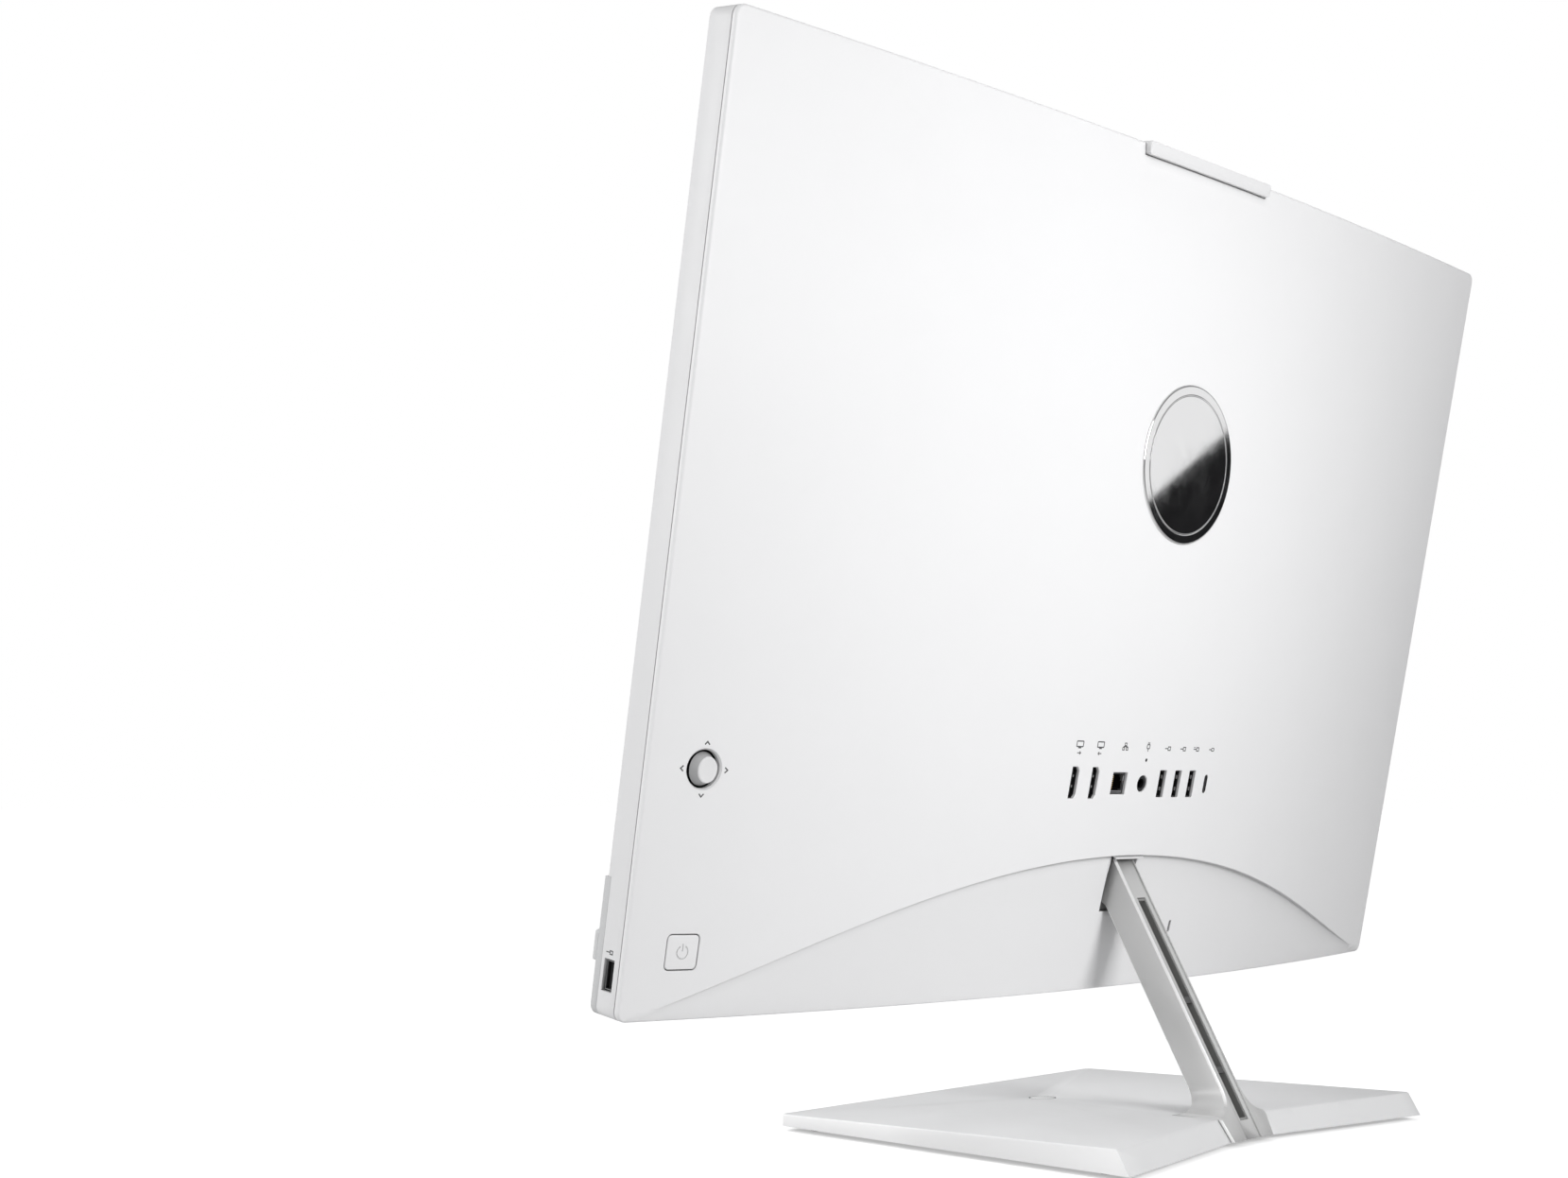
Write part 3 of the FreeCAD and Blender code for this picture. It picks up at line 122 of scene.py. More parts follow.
def finish(name, col, rough=0.5, metal=0.0, grain=900.0, bump=0.08, dist=0.00004, var=0.03, rvar=0.08, edge=0.05, spec=0.5, coat=0.0,
           brush=None, kind="ShaderNodeTexNoise", aniso=0.0, ao=0.0, ao_dist=0.006, side=None, glint=None, attr=None):
    """A moulded, cast or drawn surface: broad tone variation, roughness variation, fine grain as bump, and a painted
    highlight that lightens convex edges.
    """
    m, t, b = base_mat(name)
    big = tex(t, "ShaderNodeTexNoise", 14.0, Detail=4.0, Roughness=0.6)
    tone = mixc(t, ramp(t, big.outputs[0], 0.3, 0.7, 0.0, 1.0), scol(col, 1 - var), scol(col, 1 + var))
    geo = t.nodes.new("ShaderNodeNewGeometry")
    # painted highlight: convex edges, found by pointiness, are lightened in step with edge
    edge_f = ramp(t, geo.outputs["Pointiness"], 0.52, 0.62, 0.0, 1.0)
    m2 = t.nodes.new("ShaderNodeMath")
    m2.operation = "MULTIPLY"
    t.links.new(edge_f, m2.inputs[0])
    m2.inputs[1].default_value = edge * 8
    m2.use_clamp = True
    tone = mixc(t, m2.outputs[0], tone, scol(col, 1 + 2.2 * edge) if col[0] > 0.3 else tuple(x + edge for x in col))
    st = brush if brush else (1, 1, 1)
    fine = tex(t, kind, grain, stretch=st, **({"Detail": 3.0, "Roughness": 0.55} if kind == "ShaderNodeTexNoise" else {}))
    fo = fine.outputs[0]
    speck = mixc(t, ramp(t, fo, 0.2, 0.8, 0.0, 1.0), scol(col, 0.985), scol(col, 1.015))
    mul = t.nodes.new("ShaderNodeMix")
    mul.data_type = "RGBA"
    mul.inputs[0].default_value = 0.5
    t.links.new(tone, mul.inputs[6])
    t.links.new(speck, mul.inputs[7])
    colour = mul.outputs[2]
    # painted shade: where ambient occlusion within ao_dist finds nearby geometry (creases, gaps, recesses), the colour
    # darkens towards col*(1-ao); this is weaker on faces turned to +X or -X
    if ao > 0:
        an = t.nodes.new("ShaderNodeAmbientOcclusion")
        an.samples = 6
        an.inputs["Distance"].default_value = ao_dist
        aon = t.nodes.new("ShaderNodeVectorMath")
        aon.operation = "ABSOLUTE"
        t.links.new(geo.outputs["True Normal"], aon.inputs[0])
        aos = t.nodes.new("ShaderNodeSeparateXYZ")
        t.links.new(aon.outputs[0], aos.inputs[0])
        aom = t.nodes.new("ShaderNodeMath")
        aom.operation = "MULTIPLY"
        t.links.new(ramp(t, an.outputs["AO"], 0.25, 0.92, 1.0, 0.0), aom.inputs[0])
        t.links.new(ramp(t, aos.outputs["X"], 0.30, 0.75, 1.0, 0.35), aom.inputs[1])
        colour = mixc(t, aom.outputs[0], colour, scol(col, 1 - ao))
    # painted shade: the named mesh attribute mixes the colour towards black
    if attr:
        at = t.nodes.new("ShaderNodeAttribute")
        at.attribute_name = attr
        colour = mixc(t, at.outputs["Fac"], colour, (0.0, 0.0, 0.0))
    # painted highlight: faces whose absolute normal lines up with the glint direction are turned almost white
    if glint:
        va = t.nodes.new("ShaderNodeVectorMath")
        va.operation = "ABSOLUTE"
        t.links.new(geo.outputs["True Normal"], va.inputs[0])
        vd = t.nodes.new("ShaderNodeVectorMath")
        vd.operation = "DOT_PRODUCT"
        t.links.new(va.outputs[0], vd.inputs[0])
        vd.inputs[1].default_value = glint
        colour = mixc(t, ramp(t, vd.outputs["Value"], 0.90, 0.96, 0.0, 1.0), colour, (1.0, 1.0, 0.998))
    # painted light: faces turned towards +X are lightened towards the side colour
    if side:
        sep = t.nodes.new("ShaderNodeSeparateXYZ")
        t.links.new(geo.outputs["Normal"], sep.inputs[0])
        colour = mixc(t, ramp(t, sep.outputs["X"], 0.35, 0.75, 0.0, 1.0), colour, side)
    t.links.new(colour, b.inputs["Base Color"])
    sm = tex(t, "ShaderNodeTexNoise", 60.0, Detail=5.0, Roughness=0.65)
    t.links.new(ramp(t, sm.outputs[0], 0.3, 0.7, max(0.02, rough - rvar), rough + rvar), b.inputs["Roughness"])
    b.inputs["Metallic"].default_value = metal
    b.inputs["Specular IOR Level"].default_value = spec
    b.inputs["Coat Weight"].default_value = coat
    b.inputs["Anisotropic"].default_value = aniso
    bp = t.nodes.new("ShaderNodeBump")
    bp.inputs["Strength"].default_value = bump
    bp.inputs["Distance"].default_value = dist
    t.links.new(fo, bp.inputs["Height"])
    t.links.new(bp.outputs[0], b.inputs["Normal"])
    return m


M = {}
# white_shell and white_frame: painted shade from ambient occlusion; white_shell also takes the painted shade of the
# arch attribute
M["white_shell"] = finish("white_shell", (0.86, 0.86, 0.865), rough=0.42, grain=2600, bump=0.22, dist=0.00003, var=0.010, rvar=0.05, edge=0.03, spec=0.45, ao=0.60, ao_dist=0.0045, attr="arch")
M["white_frame"] = finish("white_frame", (0.79, 0.79, 0.795), rough=0.42, grain=2600, bump=0.22, dist=0.00003, var=0.010, rvar=0.05, edge=0.04, spec=0.45, ao=0.22, ao_dist=0.003)
M["silver_trim"] = finish("silver_trim", (0.66, 0.665, 0.67), rough=0.40, grain=2200, bump=0.18, var=0.015, rvar=0.05, edge=0.05, spec=0.5)
M["black_bezel"] = finish("black_bezel", (0.018, 0.018, 0.02), rough=0.48, grain=2500, bump=0.3, var=0.12, edge=0.02)
M["chin_mesh"] = finish("chin_mesh", (0.60, 0.605, 0.61), rough=0.7, grain=900, bump=0.6, dist=0.0002, var=0.04, edge=0.03, kind="ShaderNodeTexVoronoi")
M["screen"] = finish("screen", (0.006, 0.0065, 0.008), rough=0.18, grain=5200, bump=0.05, var=0.1, rvar=0.03, edge=0.0, coat=0.3)
M["diffuser"] = finish("diffuser", (0.80, 0.81, 0.82), rough=0.5, grain=800, bump=0.1)
M["steel"] = finish("steel", (0.55, 0.56, 0.57), rough=0.34, metal=1.0, grain=700, bump=0.15, brush=(1, 12, 12), var=0.05)
M["ballast"] = finish("ballast", (0.10, 0.10, 0.11), rough=0.6, metal=0.3, grain=260, bump=0.5, dist=0.0003, var=0.15)
# satin_aluminium: painted highlight on the neck's rear chamfers (glint) and painted shade from ambient occlusion
M["satin_aluminium"] = finish("satin_aluminium", (0.67, 0.67, 0.665), rough=0.36, metal=0.35, grain=3200, bump=0.30, dist=0.00002, var=0.012, rvar=0.05, edge=0.10, ao=0.55, ao_dist=0.030, glint=(0.7071, 0.617, 0.3455))
# cast_silver: painted light on faces turned to +X and painted shade from ambient occlusion
M["cast_silver"] = finish("cast_silver", (0.755, 0.757, 0.76), rough=0.48, metal=0.02, grain=3000, bump=0.28, dist=0.00003, var=0.012, rvar=0.06, edge=0.04, side=(1.0, 1.0, 1.0), ao=0.75, ao_dist=0.0014)
M["clip_grey"] = finish("clip_grey", (0.075, 0.075, 0.075), rough=0.6, grain=2400, bump=0.2, var=0.05, edge=0.05)
M["dark_plastic"] = finish("dark_plastic", (0.03, 0.03, 0.032), rough=0.5, grain=1500, bump=0.3, var=0.12, edge=0.02)
M["port_black"] = finish("port_black", (0.012, 0.012, 0.013), rough=0.35, grain=2200, bump=0.2, var=0.15, edge=0.03)
M["rubber"] = finish("rubber", (0.05, 0.05, 0.05), rough=0.75, grain=1200, bump=0.5, var=0.15, edge=0.02)
M["circuit_board"] = finish("circuit_board", (0.012, 0.07, 0.04), rough=0.35, grain=160, bump=0.3, dist=0.0001, var=0.25, kind="ShaderNodeTexVoronoi")
M["copper"] = finish("copper", (0.72, 0.38, 0.24), rough=0.28, metal=1.0, grain=500, bump=0.15, brush=(1, 10, 10), var=0.08)
M["lens_glass"] = finish("lens_glass", (0.01, 0.012, 0.02), rough=0.05, grain=900, bump=0.01, var=0.2, rvar=0.02, coat=1.0)
M["emblem_chrome"] = finish("emblem_chrome", (0.90, 0.90, 0.905), rough=0.045, metal=1.0, grain=1600, bump=0.02, var=0.01, rvar=0.02, edge=0.06)

M["slot_grey"] = finish("slot_grey", (0.26, 0.26, 0.255), rough=0.55, grain=2400, bump=0.2, var=0.05, edge=0.05)

slot_of = {s["node"]: s["material_slot"] for s in frame["record"]["subparts"]}
MAT_NODE = {"base_plate": "cast_silver", "cable_channel": "slot_grey", "cable_clips": "clip_grey", "side_frame": "white_frame", "camera_housing": "white_frame"}
for node, ob in frame["nodes"].items():
    mt = M[MAT_NODE.get(node, slot_of[node])]
    if len(ob.material_slots) == 0:
        ob.data.materials.append(mt)
    else:
        for sl in ob.material_slots:
            sl.material = mt

# Smooth shading on curved CAD faces, sharp at real edges
for node, ob in frame["nodes"].items():
    ob.data.shade_smooth()
    ob.data.set_sharp_from_angle(angle=math.radians(28))


# ---------------------------------------------------------------------------
# Mesh helpers
# ---------------------------------------------------------------------------
def new_obj(name, bm, mat, body, smooth=28, recalc=True, over=None):
    if recalc:
        bmesh.ops.recalc_face_normals(bm, faces=bm.faces[:])
    me = bpy.data.meshes.new(name)
    bm.to_mesh(me)
    bm.free()
    o = bpy.data.objects.new(name, me)
    bpy.context.scene.collection.objects.link(o)
    me.materials.append(mat)
    if smooth:
        me.shade_smooth()
        me.set_sharp_from_angle(angle=math.radians(smooth))
    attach(o, body)
    return o


def rr_pts(u0, u1, v0, v1, r, n=6):
    """Rounded rectangle outline, counter-clockwise, in head coordinates."""
    out = []
    for (cu, cv, a0) in ((u1 - r, v0 + r, -90), (u1 - r, v1 - r, 0), (u0 + r, v1 - r, 90), (u0 + r, v0 + r, 180)):
        for k in range(n + 1):
            t = math.radians(a0 + 90.0 * k / n)
            out.append((cu + r * math.cos(t), cv + r * math.sin(t)))
    return out


def circ_pts(u, v, r, n=64):
    return [(u + r * math.cos(2 * math.pi * k / n), v + r * math.sin(2 * math.pi * k / n)) for k in range(n)]


def grow(pts, d):
    """Outline moved outwards by d (mitred), for a counter-clockwise outline."""
    n = len(pts)
    q = []
    for i in range(n):
        p0, p1, p2 = pts[i - 1], pts[i], pts[(i + 1) % n]
        a = Vector((p1[0] - p0[0], p1[1] - p0[1]))
        b = Vector((p2[0] - p1[0], p2[1] - p1[1]))
        if a.length < 1e-9 or b.length < 1e-9:
            q.append(p1)
            continue
        a.normalize()
        b.normalize()
        na, nb = Vector((a.y, -a.x)), Vector((b.y, -b.x))
        m = (na + nb)
        if m.length < 1e-6:
            m = na.copy()
        m.normalize()
        k = d / max(0.35, m.dot(na))
        q.append((p1[0] + m.x * k, p1[1] + m.y * k))
    return q


def loft(rings, close=True):
    """Closed solid through rings of points, capped at both ends."""
    bm = bmesh.new()
    vs = [[bm.verts.new(p) for p in r] for r in rings]
    n = len(rings[0])
    for a, b in zip(vs, vs[1:]):
        for i in range(n):
            bm.faces.new((a[i], a[(i + 1) % n], b[(i + 1) % n], b[i]))
    if close:
        bm.faces.new(list(reversed(vs[0])))
        bm.faces.new(vs[-1])
    bmesh.ops.recalc_face_normals(bm, faces=bm.faces[:])
    return bm


def vcrease(u):
    """Height of the arch where dome and lower facet meet."""
    lo, hi = -30.0, 90.0
    for _ in range(40):
        mid = (lo + hi) / 2
        if dome(u, mid) > facet(u, mid):
            lo = mid
        else:
            hi = mid
    return (lo + hi) / 2


STEP = 2.6       # the facet starts this far below the dome's edge, and rises back away from the arch
WALLV = 1.0
FADE = 46.0


_VC = {}


def vc_at(u):
    k = round(abs(u), 3)
    if k not in _VC:
        _VC[k] = vcrease(k)
    return _VC[k]


def drop(u, v):
    """Depth of the recess under the arch at this place."""
    t = vc_at(u) - v
    if t <= 0:
        return 0.0
    vc = vc_at(u)
    amp = STEP * max(0.0, 1 - (u / 300.0) ** 2) ** 0.6 * min(1.0, max(0.0, vc - 3.0) / 12.0)
    x = min(1.0, t / WALLV)
    rise = x * x * (3 - 2 * x)
    k = max(0.0, 1 - max(0.0, t - WALLV) / min(FADE, max(4.0, (vc - 4.0) * 0.9)))
    return amp * rise * (k * k * (3 - 2 * k)) ** 0.8


def shell(u, v):
    """Outer surface of the rear cover, with the recess under the arch."""
    d, f = dome(u, v), facet(u, v)
    if f >= d:
        return d
    return f - drop(u, v)


def build_cover():
    bm = bmesh.new()
    RIM = 1.15                     # edge rounding
    CR = 5.0
    us = []
    x = -301.3
    nu = 122
    for i in range(nu + 1):
        us.append(-301.3 + 602.6 * i / nu)
    n1, n2 = 18, 74
    FIX = [0.0, 0.14, 0.28, 0.42, 0.56, 0.70, 0.84, 1.0, 1.4, 2.2, 3.6, 5.6, 8.6, 13.0, 18.0, 25.0, 34.0, 45.0, 60.0]
    cols = []
    for u in us:
        vc = vcrease(u)
        vb, vt = 5.0, 395.7
        c = max(vc, vb + 0.9)
        full = c - vb
        lows = [c - (full if k == n1 else min(FIX[k] + 0.04, full * (k + 0.2) / (n1 + 0.2))) for k in range(n1, -1, -1)]
        highs = [c + (vt - c) * (k / n2) ** 1.05 for k in range(n2 + 1)]
        cols.append(lows + highs)
    nv = len(cols[0])
    V_ = {}

    def vert(u, v, w):
        return bm.verts.new(P(u, v, w))
    outer = [[vert(us[i], cols[i][j], shell(us[i], cols[i][j])) for j in range(nv)] for i in range(nu + 1)]
    inner = [[vert(us[i], cols[i][j], shell(us[i], cols[i][j]) - 2.2) for j in range(nv)] for i in range(nu + 1)]
    for i in range(nu):
        for j in range(nv - 1):
            bm.faces.new((outer[i][j], outer[i][j + 1], outer[i + 1][j + 1], outer[i + 1][j]))
            bm.faces.new((inner[i][j], inner[i + 1][j], inner[i + 1][j + 1], inner[i][j + 1]))
    # boundary loop of the grid, counter-clockwise seen from the rear side
    NC = 8
    loop = []
    for i in range(nu + 1):
        loop.append((us[i], cols[i][0], outer[i][0], inner[i][0], (0, -1)))
    corner_idx = []

    def corner(i, j, a0):
        for k in range(1, NC):
            t = math.radians(a0 + 90.0 * k / NC)
            loop.append((us[i], cols[i][j], outer[i][j], inner[i][j], (math.cos(t), math.sin(t))))
    lp = []
    for i in range(nu + 1):
        lp.append((i, 0, (0.0, -1.0)))
    for k in range(1, NC):
        t = math.radians(-90 + 90.0 * k / NC)
        lp.append((nu, 0, (math.cos(t), math.sin(t))))
    for j in range(nv):
        lp.append((nu, j, (1.0, 0.0)))
    for k in range(1, NC):
        t = math.radians(90.0 * k / NC)
        lp.append((nu, nv - 1, (math.cos(t), math.sin(t))))
    for i in range(nu, -1, -1):
        lp.append((i, nv - 1, (0.0, 1.0)))
    for k in range(1, NC):
        t = math.radians(90 + 90.0 * k / NC)
        lp.append((0, nv - 1, (math.cos(t), math.sin(t))))
    for j in range(nv - 1, -1, -1):
        lp.append((0, j, (-1.0, 0.0)))
    for k in range(1, NC):
        t = math.radians(180 + 90.0 * k / NC)
        lp.append((0, 0, (math.cos(t), math.sin(t))))
    rings = []
    offs = [2.2, 3.85]
    arc = [(CR - RIM * (1 - math.sin(math.radians(a))), RIM * (1 - math.cos(math.radians(a)))) for a in (0, 18, 36, 54, 72, 90)]
    spec = [(o, 0.0) for o in offs[:1]] + arc
    for off, drop in spec:
        r = []
        for (i, j, d) in lp:
            u, v = us[i] + d[0] * off, cols[i][j] + d[1] * off
            r.append(bm.verts.new(P(u, v, shell(u, v) - drop)))
        rings.append(r)
    foot = []
    for (i, j, d) in lp:
        foot.append(bm.verts.new(P(us[i] + d[0] * CR, cols[i][j] + d[1] * CR, 12.68)))
    rings.append(foot)
    inn = []
    for (i, j, d) in lp:
        inn.append(bm.verts.new(P(us[i] + d[0] * (CR - 2.2), cols[i][j] + d[1] * (CR - 2.2), 12.68)))
    rings.append(inn)
    inn2 = []
    for (i, j, d) in lp:
        u, v = us[i] + d[0] * (CR - 2.2), cols[i][j] + d[1] * (CR - 2.2)
        inn2.append(bm.verts.new(P(u, v, max(12.95, surf(u, v) - 2.2))))
    rings.append(inn2)
    n = len(lp)
    first = [outer[i][j] for (i, j, d) in lp]
    last = [inner[i][j] for (i, j, d) in lp]
    allr = [first] + rings + [last]
    for a, b in zip(allr, allr[1:]):
        for k in range(n):
            q = []
            for x in (a[k], b[k], b[(k + 1) % n], a[(k + 1) % n]):
                if x not in q:
                    q.append(x)
            if len(q) >= 3:
                try:
                    bm.faces.new(q)
                except ValueError:
                    pass
    bmesh.ops.remove_doubles(bm, verts=bm.verts[:], dist=1e-7)
    bmesh.ops.recalc_face_normals(bm, faces=bm.faces[:])
    return bm


def cutter(name, bm):
    me = bpy.data.meshes.new(name)
    bm.to_mesh(me)
    bm.free()
    o = bpy.data.objects.new(name, me)
    bpy.context.scene.collection.objects.link(o)
    return o


def mouth_cutter(pts, depth, ch=0.3, sink=None):
    """Hole through the cover whose mouth has an even chamfer."""
    n = len(pts)
    lo = [P(u, v, (sink if sink is not None else surf(u, v) - depth)) for (u, v) in pts]
    a = [P(u, v, shell(u, v) - ch) for (u, v) in pts]
    g = grow(pts, ch)
    b = [P(u, v, shell(u, v)) for (u, v) in g]
    g2 = grow(pts, ch + 0.6)
    c = [P(u, v, shell(u, v) + 0.6) for (u, v) in g2]
    d = [P(u, v, shell(u, v) + 3.0) for (u, v) in g2]
    return loft([lo, a, b, c, d])


def box_bm(u0, u1, v0, v1, w0, w1):
    return loft([[P(u0, v0, w0), P(u1, v0, w0), P(u1, v1, w0), P(u0, v1, w0)], [P(u0, v0, w1), P(u1, v0, w1), P(u1, v1, w1), P(u0, v1, w1)]])


def join_bms(bms):
    out = bmesh.new()
    for b in bms:
        me = bpy.data.meshes.new("t")
        b.to_mesh(me)
        b.free()
        out.from_mesh(me)
        bpy.data.meshes.remove(me)
    return out


PORT_V = 106.0


def hdmi_pts(u, g=0.0):
    hu, hh, c = 2.7 + g, 7.65 + g, 1.9
    p = [(u + hu, PORT_V - hh), (u + hu, PORT_V + hh), (u - hu + c * 0.7, PORT_V + hh), (u - hu, PORT_V + hh - c), (u - hu, PORT_V - hh + c), (u - hu + c * 0.7, PORT_V - hh)]
    return p


JU, JV, BU, BV = 279.0, 106.1, 278.2, 29.5
cb = build_cover()
cover_me = bpy.data.meshes.new("rear_cover_shell")
cb.to_mesh(cover_me)
cb.free()
cover = bpy.data.objects.new("rear_cover_shell", cover_me)
sc0 = bpy.context.scene
sc0.collection.objects.link(cover)
cuts = []
cuts += [mouth_cutter(hdmi_pts(u), 6, 0.25) for u in (56.5, 41.0)]
cuts += [mouth_cutter(rr_pts(u - 3.0, u + 3.0, PORT_V - 6.8, PORT_V + 6.8, 0.5, 4), 6, 0.25) for u in (-16.0, -29.8, -43.2)]
cuts.append(mouth_cutter(rr_pts(14.8, 26.6, PORT_V - 5.4, PORT_V + 5.4, 0.3, 3), 6, 0.25))
cuts.append(mouth_cutter(circ_pts(1.1, PORT_V, 4.1, 48), 6, 0.3))
cuts.append(mouth_cutter(circ_pts(1.1, 117.7, 0.85, 20), 6, 0.1))
cuts.append(mouth_cutter(rr_pts(-58.8, -55.6, PORT_V - 4.7, PORT_V + 4.7, 1.55, 6), 6, 0.2))
cuts.append(mouth_cutter(circ_pts(JU, JV, 8.0, 72), 8, 0.7))
cuts.append(mouth_cutter(rr_pts(BU - 8.25, BU + 8.25, BV - 7.8, BV + 7.8, 2.4, 8), 8, 0.18))
cuts.append(mouth_cutter(rr_pts(-57.6, -55.4, 27.6, 33.6, 0.6, 4), 8, 0.2))
cuts.append(box_bm(-52.5, 52.5, 394.9, 420, 15.0, 60))
opn = [(-11.2, 41.0), (11.2, 41.0), (11.2, 69.75), (-11.2, 69.75)]
cuts.append(loft([[P(u, v, 22) for (u, v) in opn], [P(u, v, 60 if v < 60 else 43.97) for (u, v) in opn]]))
vents = []
for i in range(34):
    u = -132.0 + 8.0 * i
    if abs(u) > 24:
        vents.append(box_bm(u - 1.6, u + 1.6, -2, 3.2, 17.5, 26.5))
for i in range(38):
    u = -238.0 + 6.0 * i
    if u < -62:
        vents.append(box_bm(u - 1.2, u + 1.2, 397.5, 402.7, 15.6, 19.4))
# emblem pocket, square to the dome there
SL = math.atan(2 * 0.0002926 * (260.2 - 159.6))
EN = NRM * math.cos(SL) + UPV * math.sin(SL)
EC = P(0, 260.2, dome(0, 260.2))
EX, EYv = Vector((1, 0, 0)), None
EYv = EN.cross(EX).normalized()
ER = 37.5


def ring_at(c, n, r, h, k=96):
    ex = Vector((1, 0, 0))
    ey = n.cross(ex).normalized()
    return [c + n * (h / 1000) + (ex * math.cos(2 * math.pi * i / k) + ey * math.sin(2 * math.pi * i / k)) * (r / 1000) for i in range(k)]


cuts.append(loft([ring_at(EC, EN, ER + 0.15, -1.25), ring_at(EC, EN, ER + 0.15, -0.35), ring_at(EC, EN, ER + 0.15, 5)]))
tool = cutter("cut_tool", join_bms(cuts))
tool2 = cutter("cut_tool2", join_bms(vents))
for k, tl in enumerate((tool, tool2)):
    md = cover.modifiers.new("cut%d" % k, "BOOLEAN")
    md.operation = "DIFFERENCE"
    md.solver = "EXACT"
    md.object = tl
dg = bpy.context.evaluated_depsgraph_get()
res = bpy.data.meshes.new_from_object(cover.evaluated_get(dg))
cover.modifiers.clear()
cover.data = res
for tl in (tool, tool2):
    bpy.data.objects.remove(tl)
res.materials.clear()
res.materials.append(M["white_shell"])


def shade_cover(me):
    """Exact normals on the dome, facet and rim, so the shell shades as one smooth moulding."""
    me.shade_smooth()
    me.set_sharp_from_angle(angle=math.radians(24))
    e = 0.02
    cn = [Vector(l.vector) for l in me.corner_normals]
    out = list(cn)
    for poly in me.polygons:
        fn = poly.normal
        for li in poly.loop_indices:
            co = me.vertices[me.loops[li].vertex_index].co
            dy, dz = co.y * 1000 + 41.74, co.z * 1000 - 72.76
            w_, v_ = dy * CT - dz * ST, dy * ST + dz * CT
            u_ = co.x * 1000
            if abs(u_) > HW - 1.3 or v_ < 1.3 or v_ > HH - 1.3:
                continue
            d_, f_ = dome(u_, v_), facet(u_, v_)
            if abs(w_ - shell(u_, v_)) > 0.02 and abs(w_ - d_) > 0.02:
                continue
            pc = poly.center
            py_, pz_ = pc.y * 1000 + 41.74, pc.z * 1000 - 72.76
            pt_ = vc_at(pc.x * 1000) - (py_ * ST + pz_ * CT)
            if -0.01 < pt_ < 60.0:
                continue
            g = (dome if (d_ <= f_ + 1e-4 and fn.dot(NRM) > 0) else facet)
            # a face that belongs to the facet keeps the facet's normal on its upper edge
            cc = poly.center
            cy_, cz_ = cc.y * 1000 + 41.74, cc.z * 1000 - 72.76
            cv_ = cy_ * ST + cz_ * CT
            cu_ = cc.x * 1000
            g = dome if dome(cu_, cv_) <= facet(cu_, cv_) else facet
            gu = (g(u_ + e, v_) - g(u_ - e, v_)) / (2 * e)
            gv = (g(u_, v_ + e) - g(u_, v_ - e)) / (2 * e)
            nn = (NRM - Vector((1, 0, 0)) * gu - UPV * gv).normalized()
            if nn.dot(fn) > 0.97:
                out[li] = nn
    me.normals_split_custom_set([tuple(v) for v in out])


shade_cover(res)
# painted shade: per-vertex darkening of the lower facet, strongest just below the arch crease, with a wider band
# towards -u
arch = res.attributes.new("arch", "FLOAT", "POINT")
for k_, vt_ in enumerate(res.vertices):
    dy, dz = vt_.co.y * 1000 + 41.74, vt_.co.z * 1000 - 72.76
    v_, u_ = dy * ST + dz * CT, vt_.co.x * 1000
    t_ = vc_at(u_) - v_
    val = 0.0
    if t_ > 0.0:
        right = min(1.0, max(0.0, (10.0 - u_) / 120.0))
        val = (0.050 + 0.10 * math.exp(-t_ / 1.2) + 0.20 * right * math.exp(-t_ / 5.0)) * min(1.0, t_ / 0.5)
    arch.data[k_].value = val
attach(cover, "display_head")
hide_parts("rear_cover")


# ---------------------------------------------------------------------------
# Edge rounding on the CAD nodes that show crisp machined or moulded edges
# ---------------------------------------------------------------------------
BEV = {"base_plate": 0.32, "side_frame": 0.13, "neck_arm": 0.30, "camera_housing": 0.55, "chin_panel": 0.25, "chin_rail": 0.35, "front_bezel": 0.15,
       "cable_clips": 0.2, "base_cover": 0.4, "rubber_feet": 0.5}
for node, wd in BEV.items():
    ob = frame["nodes"].get(node)
    if ob is None:
        continue
    w1 = ob.modifiers.new("weld", "WELD")
    w1.merge_threshold = 1e-6
    b1 = ob.modifiers.new("round", "BEVEL")
    b1.width = wd / 1000
    b1.segments = 2
    b1.limit_method = "ANGLE"
    b1.angle_limit = math.radians(34)
    b1.use_clamp_overlap = True
    b1.harden_normals = True


# ---------------------------------------------------------------------------
# Printed and engraved marks: strokes laid on a surface
# ---------------------------------------------------------------------------
def rear_map(u0, v0, s=1.0, h0=0.0):
    """Local x to the viewer's right behind the machine, y up, h outwards."""
    return lambda x, y, h: P(u0 - s * x, v0 + s * y, shell(u0 - s * x, v0 + s * y) + h0 + h)


def side_map(v0, w0, s=1.0):
    """On the +X side wall: x towards the rear, y up."""
    return lambda x, y, h: P(HW + h, v0 + s * y, w0 + s * x)


def offset_path(pts, d, closed):
    n = len(pts)
    out = []
    for i in range(n):
        p = Vector(pts[i])
        a = Vector(pts[i - 1]) if (closed or i > 0) else None
        b = Vector(pts[(i + 1) % n]) if (closed or i < n - 1) else None
        if a is None:
            t1 = t2 = (b - p).normalized()
        elif b is None:
            t1 = t2 = (p - a).normalized()
        else:
            t1, t2 = (p - a).normalized(), (b - p).normalized()
        n1, n2 = Vector((t1.y, -t1.x)), Vector((t2.y, -t2.x))
        m = (n1 + n2)
        m = n1 if m.length < 1e-6 else m.normalized()
        k = d / max(0.5, m.dot(n1))
        out.append((p.x + m.x * k, p.y + m.y * k))
    return out


